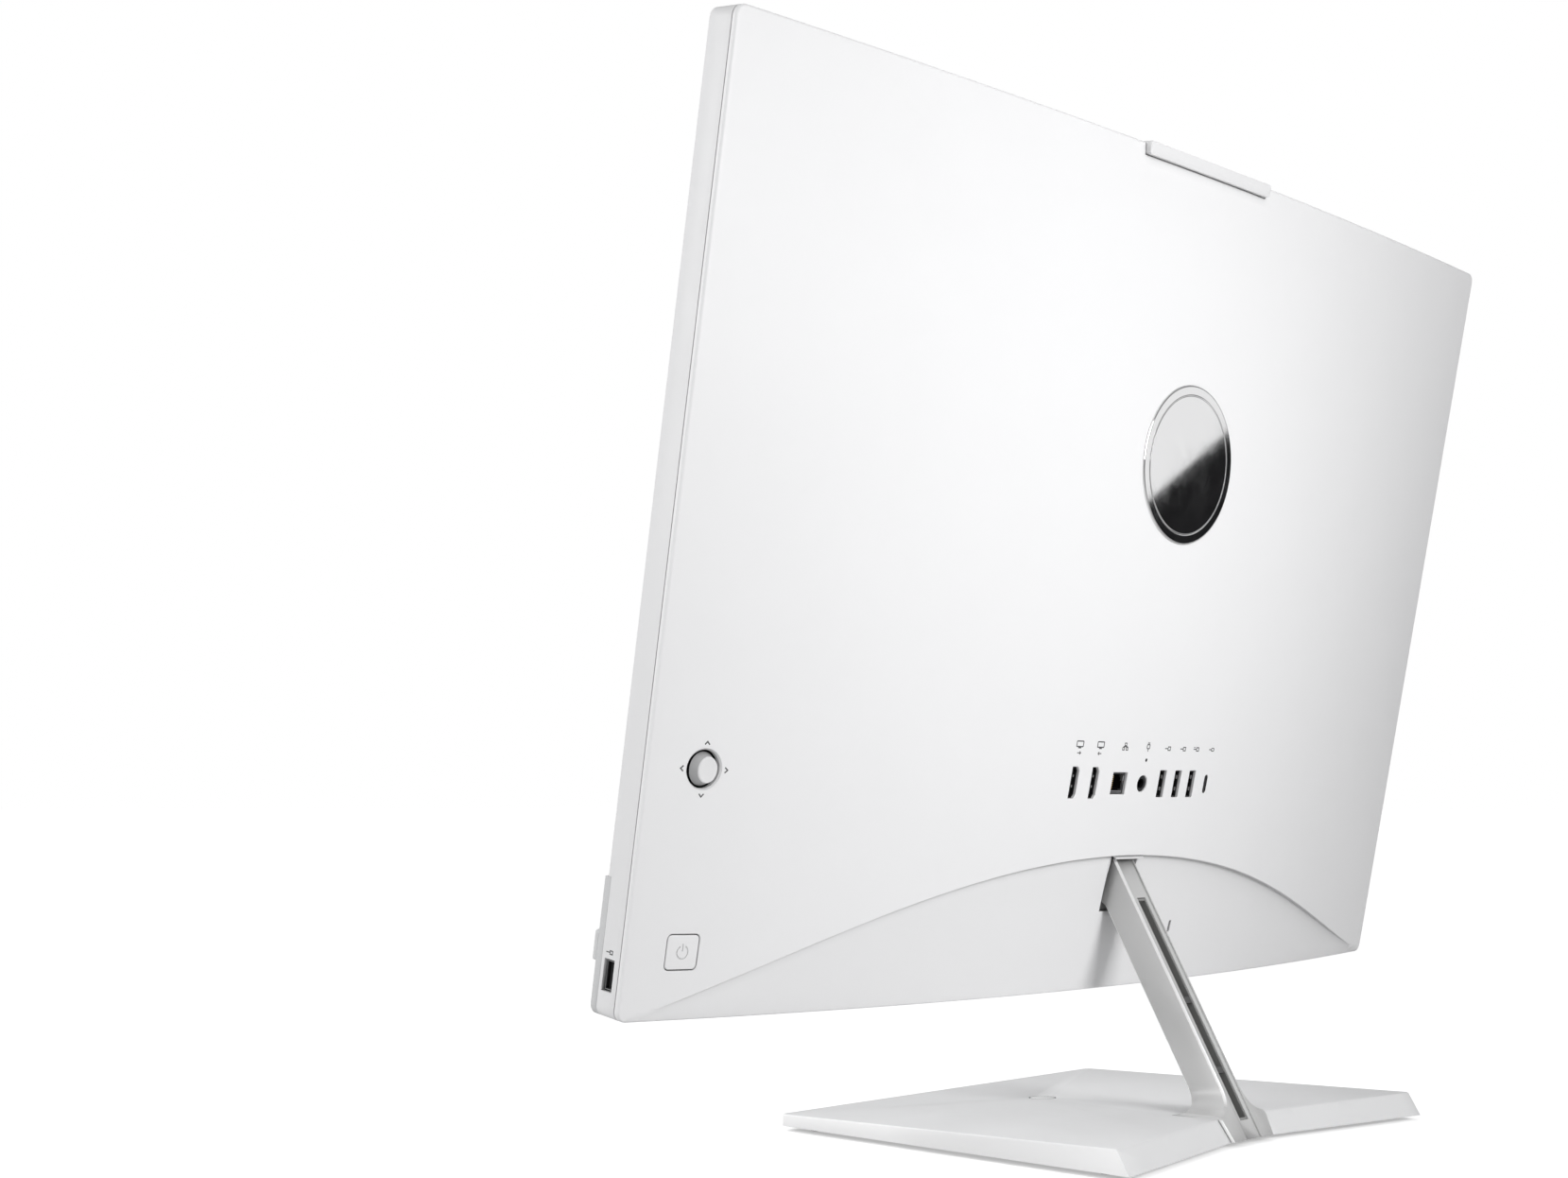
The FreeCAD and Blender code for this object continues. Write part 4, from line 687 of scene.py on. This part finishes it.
def stroke(pts, wd, mp, h0, h1, closed=False):
    L, R_ = offset_path(pts, wd / 2, closed), offset_path(pts, -wd / 2, closed)
    bm = bmesh.new()
    rows = []
    for l, r in zip(L, R_):
        rows.append([bm.verts.new(mp(l[0], l[1], h0)), bm.verts.new(mp(l[0], l[1], h1)), bm.verts.new(mp(r[0], r[1], h1)), bm.verts.new(mp(r[0], r[1], h0))])
    n = len(rows)
    for i in range(n if closed else n - 1):
        a_, b_ = rows[i], rows[(i + 1) % n]
        for k in range(4):
            bm.faces.new((a_[k], a_[(k + 1) % 4], b_[(k + 1) % 4], b_[k]))
    if not closed:
        bm.faces.new(rows[0])
        bm.faces.new(list(reversed(rows[-1])))
    bmesh.ops.recalc_face_normals(bm, faces=bm.faces[:])
    return bm


def arc_pts(cx, cy, r, a0, a1, n):
    return [(cx + r * math.cos(math.radians(a0 + (a1 - a0) * k / n)), cy + r * math.sin(math.radians(a0 + (a1 - a0) * k / n))) for k in range(n + 1)]


def box_path(x0, x1, y0, y1, r=0.0):
    if r <= 0:
        return [(x0, y0), (x1, y0), (x1, y1), (x0, y1)]
    return [(p[0], p[1]) for p in rr_pts(x0, x1, y0, y1, r, 3)]


M["legend_ink"] = finish("legend_ink", (0.085, 0.085, 0.088), rough=0.6, grain=3000, bump=0.1, var=0.06, edge=0.0)
H0, H1 = -0.10, 0.03
marks = []


def put(mp, items, wd=0.42):
    for (pts, closed) in items:
        marks.append(stroke(pts, wd * 1.22, mp, H0, H1, closed))


LEG_V = 124.3
# display sockets: a small screen, with an arrow into it and an arrow out of it
for u, d in ((56.7, 1), (40.6, -1)):
    put(rear_map(u, LEG_V), [(box_path(-2.5, 2.5, -1.0, 1.6, 0.35), True), ([(-1.1, -1.55), (1.1, -1.55)], False)], 0.46)
    put(rear_map(u, LEG_V - 4.0), [([(-1.3 * d, 0.0), (1.25 * d, 0.0)], False), ([(0.45 * d, 0.75), (1.3 * d, 0.0), (0.45 * d, -0.75)], False)], 0.38)
# network socket: three linked boxes
put(rear_map(20.6, LEG_V - 0.3), [(box_path(-0.75, 0.75, 0.55, 1.75), True), (box_path(-2.2, -0.75, -1.6, -0.4), True), (box_path(0.75, 2.2, -1.6, -0.4), True),
                                  ([(0, 0.4), (0, 0.05)], False), ([(-1.45, -0.3), (-1.45, 0.05), (1.45, 0.05), (1.45, -0.3)], False)], 0.36)
# power inlet: a plug
put(rear_map(1.2, LEG_V - 0.2), [(box_path(-1.15, 1.15, -0.7, 1.3, 0.5), True), ([(-0.55, 1.5), (-0.55, 2.5)], False), ([(0.55, 1.5), (0.55, 2.5)], False), ([(0, -0.9), (0, -2.2)], False)], 0.42)
# data sockets: a flat plug on a lead
for u in (-16.1, -30.0, -42.5):
    put(rear_map(u, LEG_V - 0.6), [(box_path(0.2, 2.3, -0.85, 0.85), True), ([(-2.5, 0), (0.0, 0)], False)], 0.40)
put(rear_map(-42.5, LEG_V - 0.6), [([(-2.4, 0.9), (-1.2, 0.9)], False)], 0.36)
put(rear_map(-57.4, LEG_V - 0.6), [(box_path(-0.2, 2.4, -0.7, 0.7, 0.6), True), ([(-2.3, 0), (-0.4, 0)], False)], 0.38)
# direction chevrons round the joystick
for k, (dx, dy) in enumerate(((0, 1), (1, 0), (0, -1), (-1, 0))):
    cx, cy = dx * 10.9, dy * 10.9
    px_, py_ = -dy, dx
    put(rear_map(JU, JV), [([(cx - dx * 0.75 + px_ * 1.15, cy - dy * 0.75 + py_ * 1.15), (cx + dx * 0.55, cy + dy * 0.55), (cx - dx * 0.75 - px_ * 1.15, cy - dy * 0.75 - py_ * 1.15)], False)], 0.46)
# data mark over the side socket
put(side_map(27.9, 5.9, 0.9), [(box_path(0.2, 1.9, -0.8, 0.8), True), ([(-2.3, 0), (0.0, 0)], False)], 0.42)
new_obj("legend_marks", join_bms(marks), M["legend_ink"], "display_head", smooth=None, recalc=False)

# ---------------------------------------------------------------------------
# Port fittings: dark liners in the openings, tongues, springs and contacts
# ---------------------------------------------------------------------------


def srf_ring(pts, h):
    return [P(u, v, shell(u, v) + h) for (u, v) in pts]


def tube(pts, g0, g1, h0, h1):
    """Closed sleeve between two outlines, from depth h0 to depth h1."""
    a0, a1 = srf_ring(grow(pts, g0), h0), srf_ring(grow(pts, g0), h1)
    b0, b1 = srf_ring(grow(pts, g1), h0), srf_ring(grow(pts, g1), h1)
    bm_ = bmesh.new()
    R4 = [[bm_.verts.new(p) for p in r_] for r_ in (a0, a1, b1, b0)]
    n_ = len(pts)
    for q in range(4):
        x, y = R4[q], R4[(q + 1) % 4]
        for k in range(n_):
            bm_.faces.new((x[k], x[(k + 1) % n_], y[(k + 1) % n_], y[k]))
    bmesh.ops.recalc_face_normals(bm_, faces=bm_.faces[:])
    return bm_


def sbox(u0, u1, v0, v1, h0, h1):
    pts = [(u0, v0), (u1, v0), (u1, v1), (u0, v1)]
    return loft([srf_ring(pts, h0), srf_ring(pts, h1)])


HD = [hdmi_pts(u) for u in (56.5, 41.0)]
UA = [rr_pts(u - 3.0, u + 3.0, PORT_V - 6.8, PORT_V + 6.8, 0.5, 4) for u in (-16.0, -29.8, -43.2)]
LN = rr_pts(14.8, 26.6, PORT_V - 5.4, PORT_V + 5.4, 0.3, 3)
DCP = circ_pts(1.1, PORT_V, 4.1, 48)
UC = rr_pts(-58.8, -55.6, PORT_V - 4.7, PORT_V + 4.7, 1.55, 6)
liners = [tube(p, -0.03, -0.42, -2.75, -1.45) for p in HD] + [tube(p, -0.03, -0.62, -2.75, -1.45) for p in UA] + [tube(LN, -0.03, -0.45, -2.75, -1.5), tube(UC, -0.03, -0.34, -2.6, -0.22)]
liners += [tube(DCP, -0.03, -1.55, -2.5, -0.95)]
new_obj("port_liners", join_bms(liners), M["port_black"], "display_head", smooth=30)
steels = [tube(LN, -0.5, -0.78, -2.6, -1.7), tube(UC, -0.40, -0.56, -2.4, -0.6)]
for u in (56.5, 41.0):
    steels += [sbox(u - 0.9, u - 0.3, PORT_V + dv - 0.55, PORT_V + dv + 0.55, -2.2, -1.5) for dv in (3.1, -1.9)]
for u in (-16.0, -29.8, -43.2):
    steels += [sbox(u - 1.5, u - 0.95, PORT_V + dv - 0.9, PORT_V + dv + 0.9, -2.2, -1.35) for dv in (3.4, -2.6)]
steels += [sbox(15.7, 16.6, PORT_V + 1.0, PORT_V + 3.6, -2.5, -1.3), sbox(16.0, 25.0, PORT_V - 4.2, PORT_V - 3.75, -2.5, -1.3)]
M["port_steel"] = finish("port_steel", (0.42, 0.42, 0.43), rough=0.35, metal=0.8, grain=2400, bump=0.1, var=0.06, edge=0.1)
new_obj("port_steels", join_bms(steels), M["port_steel"], "display_head", smooth=30)
tongues = [sbox(u - 0.2, u + 0.55, PORT_V - 5.6, PORT_V + 5.6, -2.7, -1.7) for u in (56.5, 41.0)] + [sbox(u + 0.2, u + 1.5, PORT_V - 5.6, PORT_V + 5.6, -2.7, -1.6) for u in (-16.0, -29.8, -43.2)]
new_obj("port_tongues", join_bms(tongues), M["dark_plastic"], "display_head", smooth=30)
gold = []
for u in (56.5, 41.0):
    gold += [sbox(u - 0.32, u - 0.21, PORT_V - 5.0 + 1.1 * k, PORT_V - 4.6 + 1.1 * k, -2.6, -1.8) for k in range(10)]
for u in (-16.0, -29.8, -43.2):
    gold += [sbox(u + 0.05, u + 0.19, PORT_V - 4.4 + 2.4 * k, PORT_V - 3.2 + 2.4 * k, -2.6, -1.75) for k in range(4)]
gold += [sbox(23.2, 24.6, PORT_V - 3.1 + 0.88 * k, PORT_V - 2.7 + 0.88 * k, -2.7, -1.9) for k in range(8)]
M["contact_gold"] = finish("contact_gold", (0.75, 0.55, 0.25), rough=0.3, metal=1.0, grain=2400, bump=0.1, var=0.06, edge=0.1)
new_obj("port_contacts", join_bms(gold), M["contact_gold"], "display_head", smooth=30)
# lip and sleeve in the side socket
SQ = [(18.3 - 6.35, 6.4 - 2.6), (18.3 + 6.35, 6.4 - 2.6), (18.3 + 6.35, 6.4 + 2.6), (18.3 - 6.35, 6.4 + 2.6)]


def side_ring(pts, h):
    return [P(HW + h, v, w_) for (v, w_) in pts]


def side_tube(pts, g0, g1, h0, h1):
    bm_ = bmesh.new()
    R4 = [[bm_.verts.new(p) for p in r_] for r_ in (side_ring(grow(pts, g0), h0), side_ring(grow(pts, g0), h1), side_ring(grow(pts, g1), h1), side_ring(grow(pts, g1), h0))]
    n_ = len(pts)
    for q in range(4):
        x, y = R4[q], R4[(q + 1) % 4]
        for k in range(n_):
            bm_.faces.new((x[k], x[(k + 1) % n_], y[(k + 1) % n_], y[k]))
    bmesh.ops.recalc_face_normals(bm_, faces=bm_.faces[:])
    return bm_


new_obj("side_socket_lip", join_bms([side_tube(SQ, -0.30, -0.52, -1.7, -1.3)]), M["port_steel"], "display_head", smooth=30)
new_obj("side_socket_sleeve", join_bms([side_tube(SQ, -0.25, -0.70, -6.0, -1.75)]), M["port_black"], "display_head", smooth=30)

# ---------------------------------------------------------------------------
# Power button with an engraved mark
# ---------------------------------------------------------------------------


def cad_copy(node, name):
    src = frame["nodes"][node]
    me = src.data.copy()
    me.name = name
    o = bpy.data.objects.new(name, me)
    bpy.context.scene.collection.objects.link(o)
    o.matrix_world = src.matrix_world.copy()
    return o


def ring_pts(cu, cv, r, n=72):
    return [(cu + r * math.cos(2 * math.pi * k / n), cv + r * math.sin(2 * math.pi * k / n)) for k in range(n)]


def baked(o, bevel=None, tools=(), angle=30, union=()):
    bpy.context.view_layer.update()
    for k, tl in enumerate(tools):
        md = o.modifiers.new("c%d" % k, "BOOLEAN")
        md.operation = "DIFFERENCE"
        md.solver = "EXACT"
        md.object = tl
    if bevel:
        b_ = o.modifiers.new("round", "BEVEL")
        b_.width = bevel / 1000
        b_.segments = 2
        b_.limit_method = "ANGLE"
        b_.angle_limit = math.radians(angle)
        b_.harden_normals = True
    dg_ = bpy.context.evaluated_depsgraph_get()
    me = bpy.data.meshes.new_from_object(o.evaluated_get(dg_))
    o.modifiers.clear()
    o.data = me
    for tl in tools:
        bpy.data.objects.remove(tl)
    return o


bp_out = rr_pts(BU - 7.8, BU + 7.8, BV - 7.35, BV + 7.35, 2.0, 8)


def scaled(pts, k):
    return [(BU + (p[0] - BU) * k, BV + (p[1] - BV) * k) for p in pts]


rings = [[P(u, v, 15.4) for (u, v) in bp_out], [P(u, v, shell(u, v) - 0.42) for (u, v) in bp_out], [P(u, v, shell(u, v) - 0.20) for (u, v) in grow(bp_out, -0.08)],
         [P(u, v, shell(u, v) - 0.08) for (u, v) in grow(bp_out, -0.28)], [P(u, v, shell(u, v) - 0.05) for (u, v) in grow(bp_out, -0.55)]]
rings += [[P(u, v, shell(u, v) - 0.05) for (u, v) in scaled(grow(bp_out, -0.55), k)] for k in (0.66, 0.33, 0.02)]
pb = cutter("power_button_cap", loft(rings))
sym = [stroke(arc_pts(0, 0, 2.75, 118, 422, 40), 0.62, rear_map(BU, BV), -0.30, 0.6), stroke([(0, 0.5), (0, 3.6)], 0.62, rear_map(BU, BV), -0.30, 0.6)]
sy = cutter("sym", join_bms(sym))
baked(pb, tools=[sy])
stem = cutter("st", loft([[P(u, v, 14.6) for (u, v) in ring_pts(BU, BV, 3.0, 40)], [P(u, v, 15.35) for (u, v) in ring_pts(BU, BV, 3.0, 40)]]))
bmx = bmesh.new()
bmx.from_mesh(pb.data)
bmx.from_mesh(stem.data)
bmx.to_mesh(pb.data)
bmx.free()
bpy.data.objects.remove(stem)
pb.data.materials.clear()
pb.data.materials.append(M["white_shell"])
pb.data.shade_smooth()
pb.data.set_sharp_from_angle(angle=math.radians(30))
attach(pb, "power_button")
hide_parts("power_button")

# ---------------------------------------------------------------------------
# Joystick cap: dished top, rolled edge, and a skirt coloured grey as painted shade
# ---------------------------------------------------------------------------
JS = surf(JU, JV)
PIV = 16.4
# painted shade: the skirt's grey colour and its ambient-occlusion darkening stand for the shade under the cap
M["skirt_shade_grey"] = finish("skirt_shade_grey", (0.50, 0.502, 0.505), rough=0.5, grain=2400, bump=0.2, var=0.05, edge=0.03, ao=0.85, ao_dist=0.004)
prof = [(3.0, PIV - 1.15), (3.0, PIV + 1.88), (6.9, PIV + 1.90), (7.12, PIV + 2.02)]
NP = 14
for k in range(1, NP + 1):
    t = k / NP
    prof.append((7.12 + (5.50 - 7.12) * t - 0.10 * math.sin(math.pi * t), PIV + 2.02 + (JS + 1.75 - PIV - 2.02) * t))
prof += [(5.45, JS + 1.98), (5.32, JS + 2.16), (5.12, JS + 2.28), (4.8, JS + 2.26), (4.2, JS + 2.16), (3.0, JS + 2.04), (1.5, JS + 1.98), (0.05, JS + 1.96)]
NS_ = 96
jr = []
for (r, w_) in prof:
    jr.append([P(JU + r * math.cos(2 * math.pi * k / NS_), JV + r * math.sin(2 * math.pi * k / NS_), w_) for k in range(NS_)])
jc = new_obj("joystick_cap", loft(jr), M["white_frame"], "joystick_stick", smooth=40, recalc=True)
jc.data.materials.append(M["skirt_shade_grey"])
# faces below the cap's rim take the skirt's painted shade
for poly in jc.data.polygons:
    c = poly.center
    dy, dz = c.y * 1000 + 41.74, c.z * 1000 - 72.76
    if dy * CT - dz * ST < JS + 1.70:
        poly.material_index = 1
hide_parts("joystick_stick")

# ---------------------------------------------------------------------------
# Emblem: a plain polished disc with one fine ring and a rolled edge
# ---------------------------------------------------------------------------
eprof = [(37.30, -1.15), (37.48, -1.05), (37.50, -0.90), (37.50, -0.10), (37.45, 0.02), (37.33, 0.12), (37.15, 0.20), (36.95, 0.245), (36.75, 0.25), (36.7, 0.25),
         (33.35, 0.25), (33.30, 0.25), (33.22, 0.21), (33.17, 0.12), (33.10, 0.10), (32.55, 0.10), (32.48, 0.12), (32.43, 0.21), (32.35, 0.25), (32.30, 0.25),
         (22.0, 0.25), (11.0, 0.25), (0.05, 0.25)]
emb = new_obj("emblem_polished", loft([ring_at(EC, EN, r_, h_, 160) for (r_, h_) in eprof]), M["emblem_chrome"], "display_head", smooth=34)
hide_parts("emblem_disc")

# ---------------------------------------------------------------------------
# Shield behind the neck opening: a curved wall about the hinge and two cheeks
# ---------------------------------------------------------------------------
HGV, HGW = 42.7, 29.0


def wedge_ring(r, a, u0, u1):
    t = math.radians(a)
    return [P(u0, HGV + r * math.sin(t), HGW + r * math.cos(t)), P(u1, HGV + r * math.sin(t), HGW + r * math.cos(t))]


sh = []
rs = []
for k in range(19):
    a_ = 59.0 + 51.0 * k / 18
    i0, i1 = wedge_ring(29.85, a_, -11.9, 11.9)
    o0, o1 = wedge_ring(30.55, a_, -11.9, 11.9)
    rs.append([i0, i1, o1, o0])
sh.append(loft(rs))
for s_ in (-1, 1):
    ua, ub = (11.25, 12.0) if s_ > 0 else (-12.0, -11.25)
    pts_ = [(41.0, 24.0), (41.0, 36.9), (62.0, 40.6), (68.4, 41.4), (70.5, 38.0), (66.0, 24.0)]
    sh.append(loft([[P(ua, v, w_) for (v, w_) in pts_], [P(ub, v, w_) for (v, w_) in pts_]]))
new_obj("neck_shield", join_bms(sh), M["white_shell"], "display_head", smooth=30)

# ---------------------------------------------------------------------------
# Stage: floor, lights, camera
# ---------------------------------------------------------------------------
sc = bpy.context.scene
sc.view_settings.view_transform = "Standard"
sc.view_settings.look = "None"
sc.view_settings.exposure = 0.0

fl = bpy.data.meshes.new("floor")
bm = bmesh.new()
R = 40.0
bmesh.ops.create_circle(bm, cap_ends=True, segments=96, radius=R)
bm.to_mesh(fl)
bm.free()
floor = bpy.data.objects.new("floor", fl)
sc.collection.objects.link(floor)
floor.location = (0, 0, -0.0002)
fm, ft, fb = base_mat("floor_paper")
n = tex(ft, "ShaderNodeTexNoise", 3.0, Detail=3.0)
ft.links.new(mixc(ft, ramp(ft, n.outputs[0], 0.3, 0.7, 0, 1), (0.86, 0.86, 0.86), (0.88, 0.88, 0.88)), fb.inputs["Base Color"])
fb.inputs["Roughness"].default_value = 0.9
fb.inputs["Specular IOR Level"].default_value = 0.1
fb.inputs["Emission Color"].default_value = (1, 1, 1, 1)
ftc = ft.nodes.new("ShaderNodeTexCoord")
fvl = ft.nodes.new("ShaderNodeVectorMath")
fvl.operation = "LENGTH"
ft.links.new(ftc.outputs["Object"], fvl.inputs[0])
fmr = ft.nodes.new("ShaderNodeMapRange")
fmr.interpolation_type = "SMOOTHSTEP"
fmr.inputs["From Min"].default_value = 0.34
fmr.inputs["From Max"].default_value = 0.95
ft.links.new(fvl.outputs["Value"], fmr.inputs["Value"])
FLOOR_NEAR = 0.42
fes = ft.nodes.new("ShaderNodeMapRange")
fes.inputs["To Min"].default_value = FLOOR_NEAR
fes.inputs["To Max"].default_value = 1.0
ft.links.new(fmr.outputs["Result"], fes.inputs["Value"])
flp = ft.nodes.new("ShaderNodeLightPath")
fsw = ft.nodes.new("ShaderNodeMix")
ft.links.new(flp.outputs["Is Camera Ray"], fsw.inputs[0])
fsw.inputs[2].default_value = 0.04
ft.links.new(fes.outputs["Result"], fsw.inputs[3])
ft.links.new(fsw.outputs[0], fb.inputs["Emission Strength"])
fbc = fb.inputs["Base Color"].links[0].from_socket
flp2 = ft.nodes.new("ShaderNodeLightPath")
ft.links.new(mixc(ft, flp2.outputs["Is Camera Ray"], (0.52, 0.52, 0.52), mixc(ft, fmr.outputs["Result"], fbc, (0.0, 0.0, 0.0))), fb.inputs["Base Color"])
floor.data.materials.append(fm)

w = bpy.data.worlds.new("studio")
sc.world = w
w.use_nodes = True
wt = w.node_tree
wt.nodes.clear()
wo = wt.nodes.new("ShaderNodeOutputWorld")
bg1 = wt.nodes.new("ShaderNodeBackground")
bg2 = wt.nodes.new("ShaderNodeBackground")
mx = wt.nodes.new("ShaderNodeMixShader")
lp = wt.nodes.new("ShaderNodeLightPath")
bg1.inputs[0].default_value = (0.80, 0.80, 0.81, 1)
bg1.inputs[1].default_value = 0.38
bg2.inputs[0].default_value = (1, 1, 1, 1)
bg2.inputs[1].default_value = 1.0
wt.links.new(lp.outputs["Is Camera Ray"], mx.inputs[0])
wt.links.new(bg1.outputs[0], mx.inputs[1])
wt.links.new(bg2.outputs[0], mx.inputs[2])
wt.links.new(mx.outputs[0], wo.inputs[0])


def area(name, loc, target, size, power, size_y=None, spread=None):
    d = bpy.data.lights.new(name, "AREA")
    d.energy = power
    d.size = size
    if size_y:
        d.shape = "RECTANGLE"
        d.size_y = size_y
    o = bpy.data.objects.new(name, d)
    sc.collection.objects.link(o)
    o.location = loc
    o.rotation_euler = (Vector(target) - Vector(loc)).to_track_quat("-Z", "Y").to_euler()
    return o


KEY = area("key_rear", (0.10, 0.88, 0.48), (0.07, 0.0, 0.270), 0.40, 2.70, 0.40)
KEY.data.spread = math.radians(116)
FRONT = area("front", (-0.5, -2.1, 1.3), (0, 0, 0.2), 1.6, 37, 1.2)
FRONT.visible_glossy = False
for la in (KEY, FRONT, area("side", (1.6, -0.62, 0.75), (0.25, 0.0, 0.30), 1.0, 15.5, 1.0)):
    la.visible_camera = False

# Two cards seen only in mirror-like surfaces: they give the emblem its slanted light and dark halves
CP = Vector((0.896576, 0.611426, 0.161092))
CM = CP - EN * (2 * (CP - EC).dot(EN))
DX, DZ = Vector((1, 0, 0)), EN.cross(Vector((1, 0, 0))).normalized()
if DZ.z < 0:
    DZ = -DZ


def mirrored(x, z, yc):
    p = EC + DX * (x / 1000) + DZ * (z / 1000)
    d_ = p - CM
    return CM + d_ * ((yc - CM.y) / d_.y)


def card(name, corners, yc, col, emit):
    me_ = bpy.data.meshes.new(name)
    me_.from_pydata([tuple(mirrored(x, z, yc)) for (x, z) in corners], [], [(0, 1, 2, 3)])
    o_ = bpy.data.objects.new(name, me_)
    sc.collection.objects.link(o_)
    m_, t_, b_ = base_mat(name)
    nz = tex(t_, "ShaderNodeTexNoise", 2.0, Detail=2.0)
    t_.links.new(mixc(t_, ramp(t_, nz.outputs[0], 0.3, 0.7, 0, 1), scol(col, 0.95), scol(col, 1.05)), b_.inputs["Base Color"])
    b_.inputs["Roughness"].default_value = 1.0
    b_.inputs["Specular IOR Level"].default_value = 0.0
    b_.inputs["Emission Color"].default_value = (1, 1, 1, 1)
    b_.inputs["Emission Strength"].default_value = emit
    me_.materials.append(m_)
    o_.visible_camera = False
    o_.visible_diffuse = False
    o_.visible_shadow = False
    o_.visible_transmission = False
    o_.visible_volume_scatter = False
    return o_


card("card_white", [(-95, -75), (95, -75), (95, 75), (-95, 75)], 0.75, (0.1, 0.1, 0.1), 0.80)
# dark below and to the far side of a line from upper far to lower near
ldx, ldz = -72.0, 46.0
L_ = math.hypot(ldx, ldz)
ex_, ez_ = ldx / L_, ldz / L_
nx_, nz_ = -46.0 / L_, -72.0 / L_
card("card_black", [(ex_ * 70, ez_ * 70), (-ex_ * 70, -ez_ * 70), (-ex_ * 70 + nx_ * 70, -ez_ * 70 + nz_ * 70), (ex_ * 70 + nx_ * 70, ez_ * 70 + nz_ * 70)], 0.70, (0.012, 0.012, 0.013), 0.0)

yaw, pitch = -2.374375431, -0.023436220
fwd = Vector((math.sin(yaw) * math.cos(pitch), math.cos(yaw) * math.cos(pitch), math.sin(pitch)))
right = fwd.cross(Vector((0, 0, 1))).normalized()
up = right.cross(fwd)
cd = bpy.data.cameras.new("camera")
cam = bpy.data.objects.new("camera", cd)
sc.collection.objects.link(cam)
CX, CY, CZ = 0.896576, 0.611426, 0.161092
mw = Matrix((right, up, -fwd)).transposed().to_4x4()
mw.translation = Vector((CX, CY, CZ))
cam.matrix_world = mw
cd.sensor_fit = "HORIZONTAL"
cd.sensor_width = 36.0
cd.lens = 36.0 * 2263.3275 / 1659.0
cd.clip_start = 0.01
cd.clip_end = 100
# the lens shift belongs to the main viewpoint; from any other place the lens is centred
for prop, val in (("shift_x", 0.0781), ("shift_y", 0.1670)):
    setattr(cd, prop, val)
    dr = cd.driver_add(prop).driver
    dr.type = "SCRIPTED"
    v = dr.variables.new()
    v.name = "x"
    v.type = "TRANSFORMS"
    v.targets[0].id = cam
    v.targets[0].transform_type = "LOC_X"
    v.targets[0].transform_space = "WORLD_SPACE"
    dr.expression = "%.5f if abs(x - %.6f) < 0.0005 else 0.0" % (val, CX)
sc.camera = cam
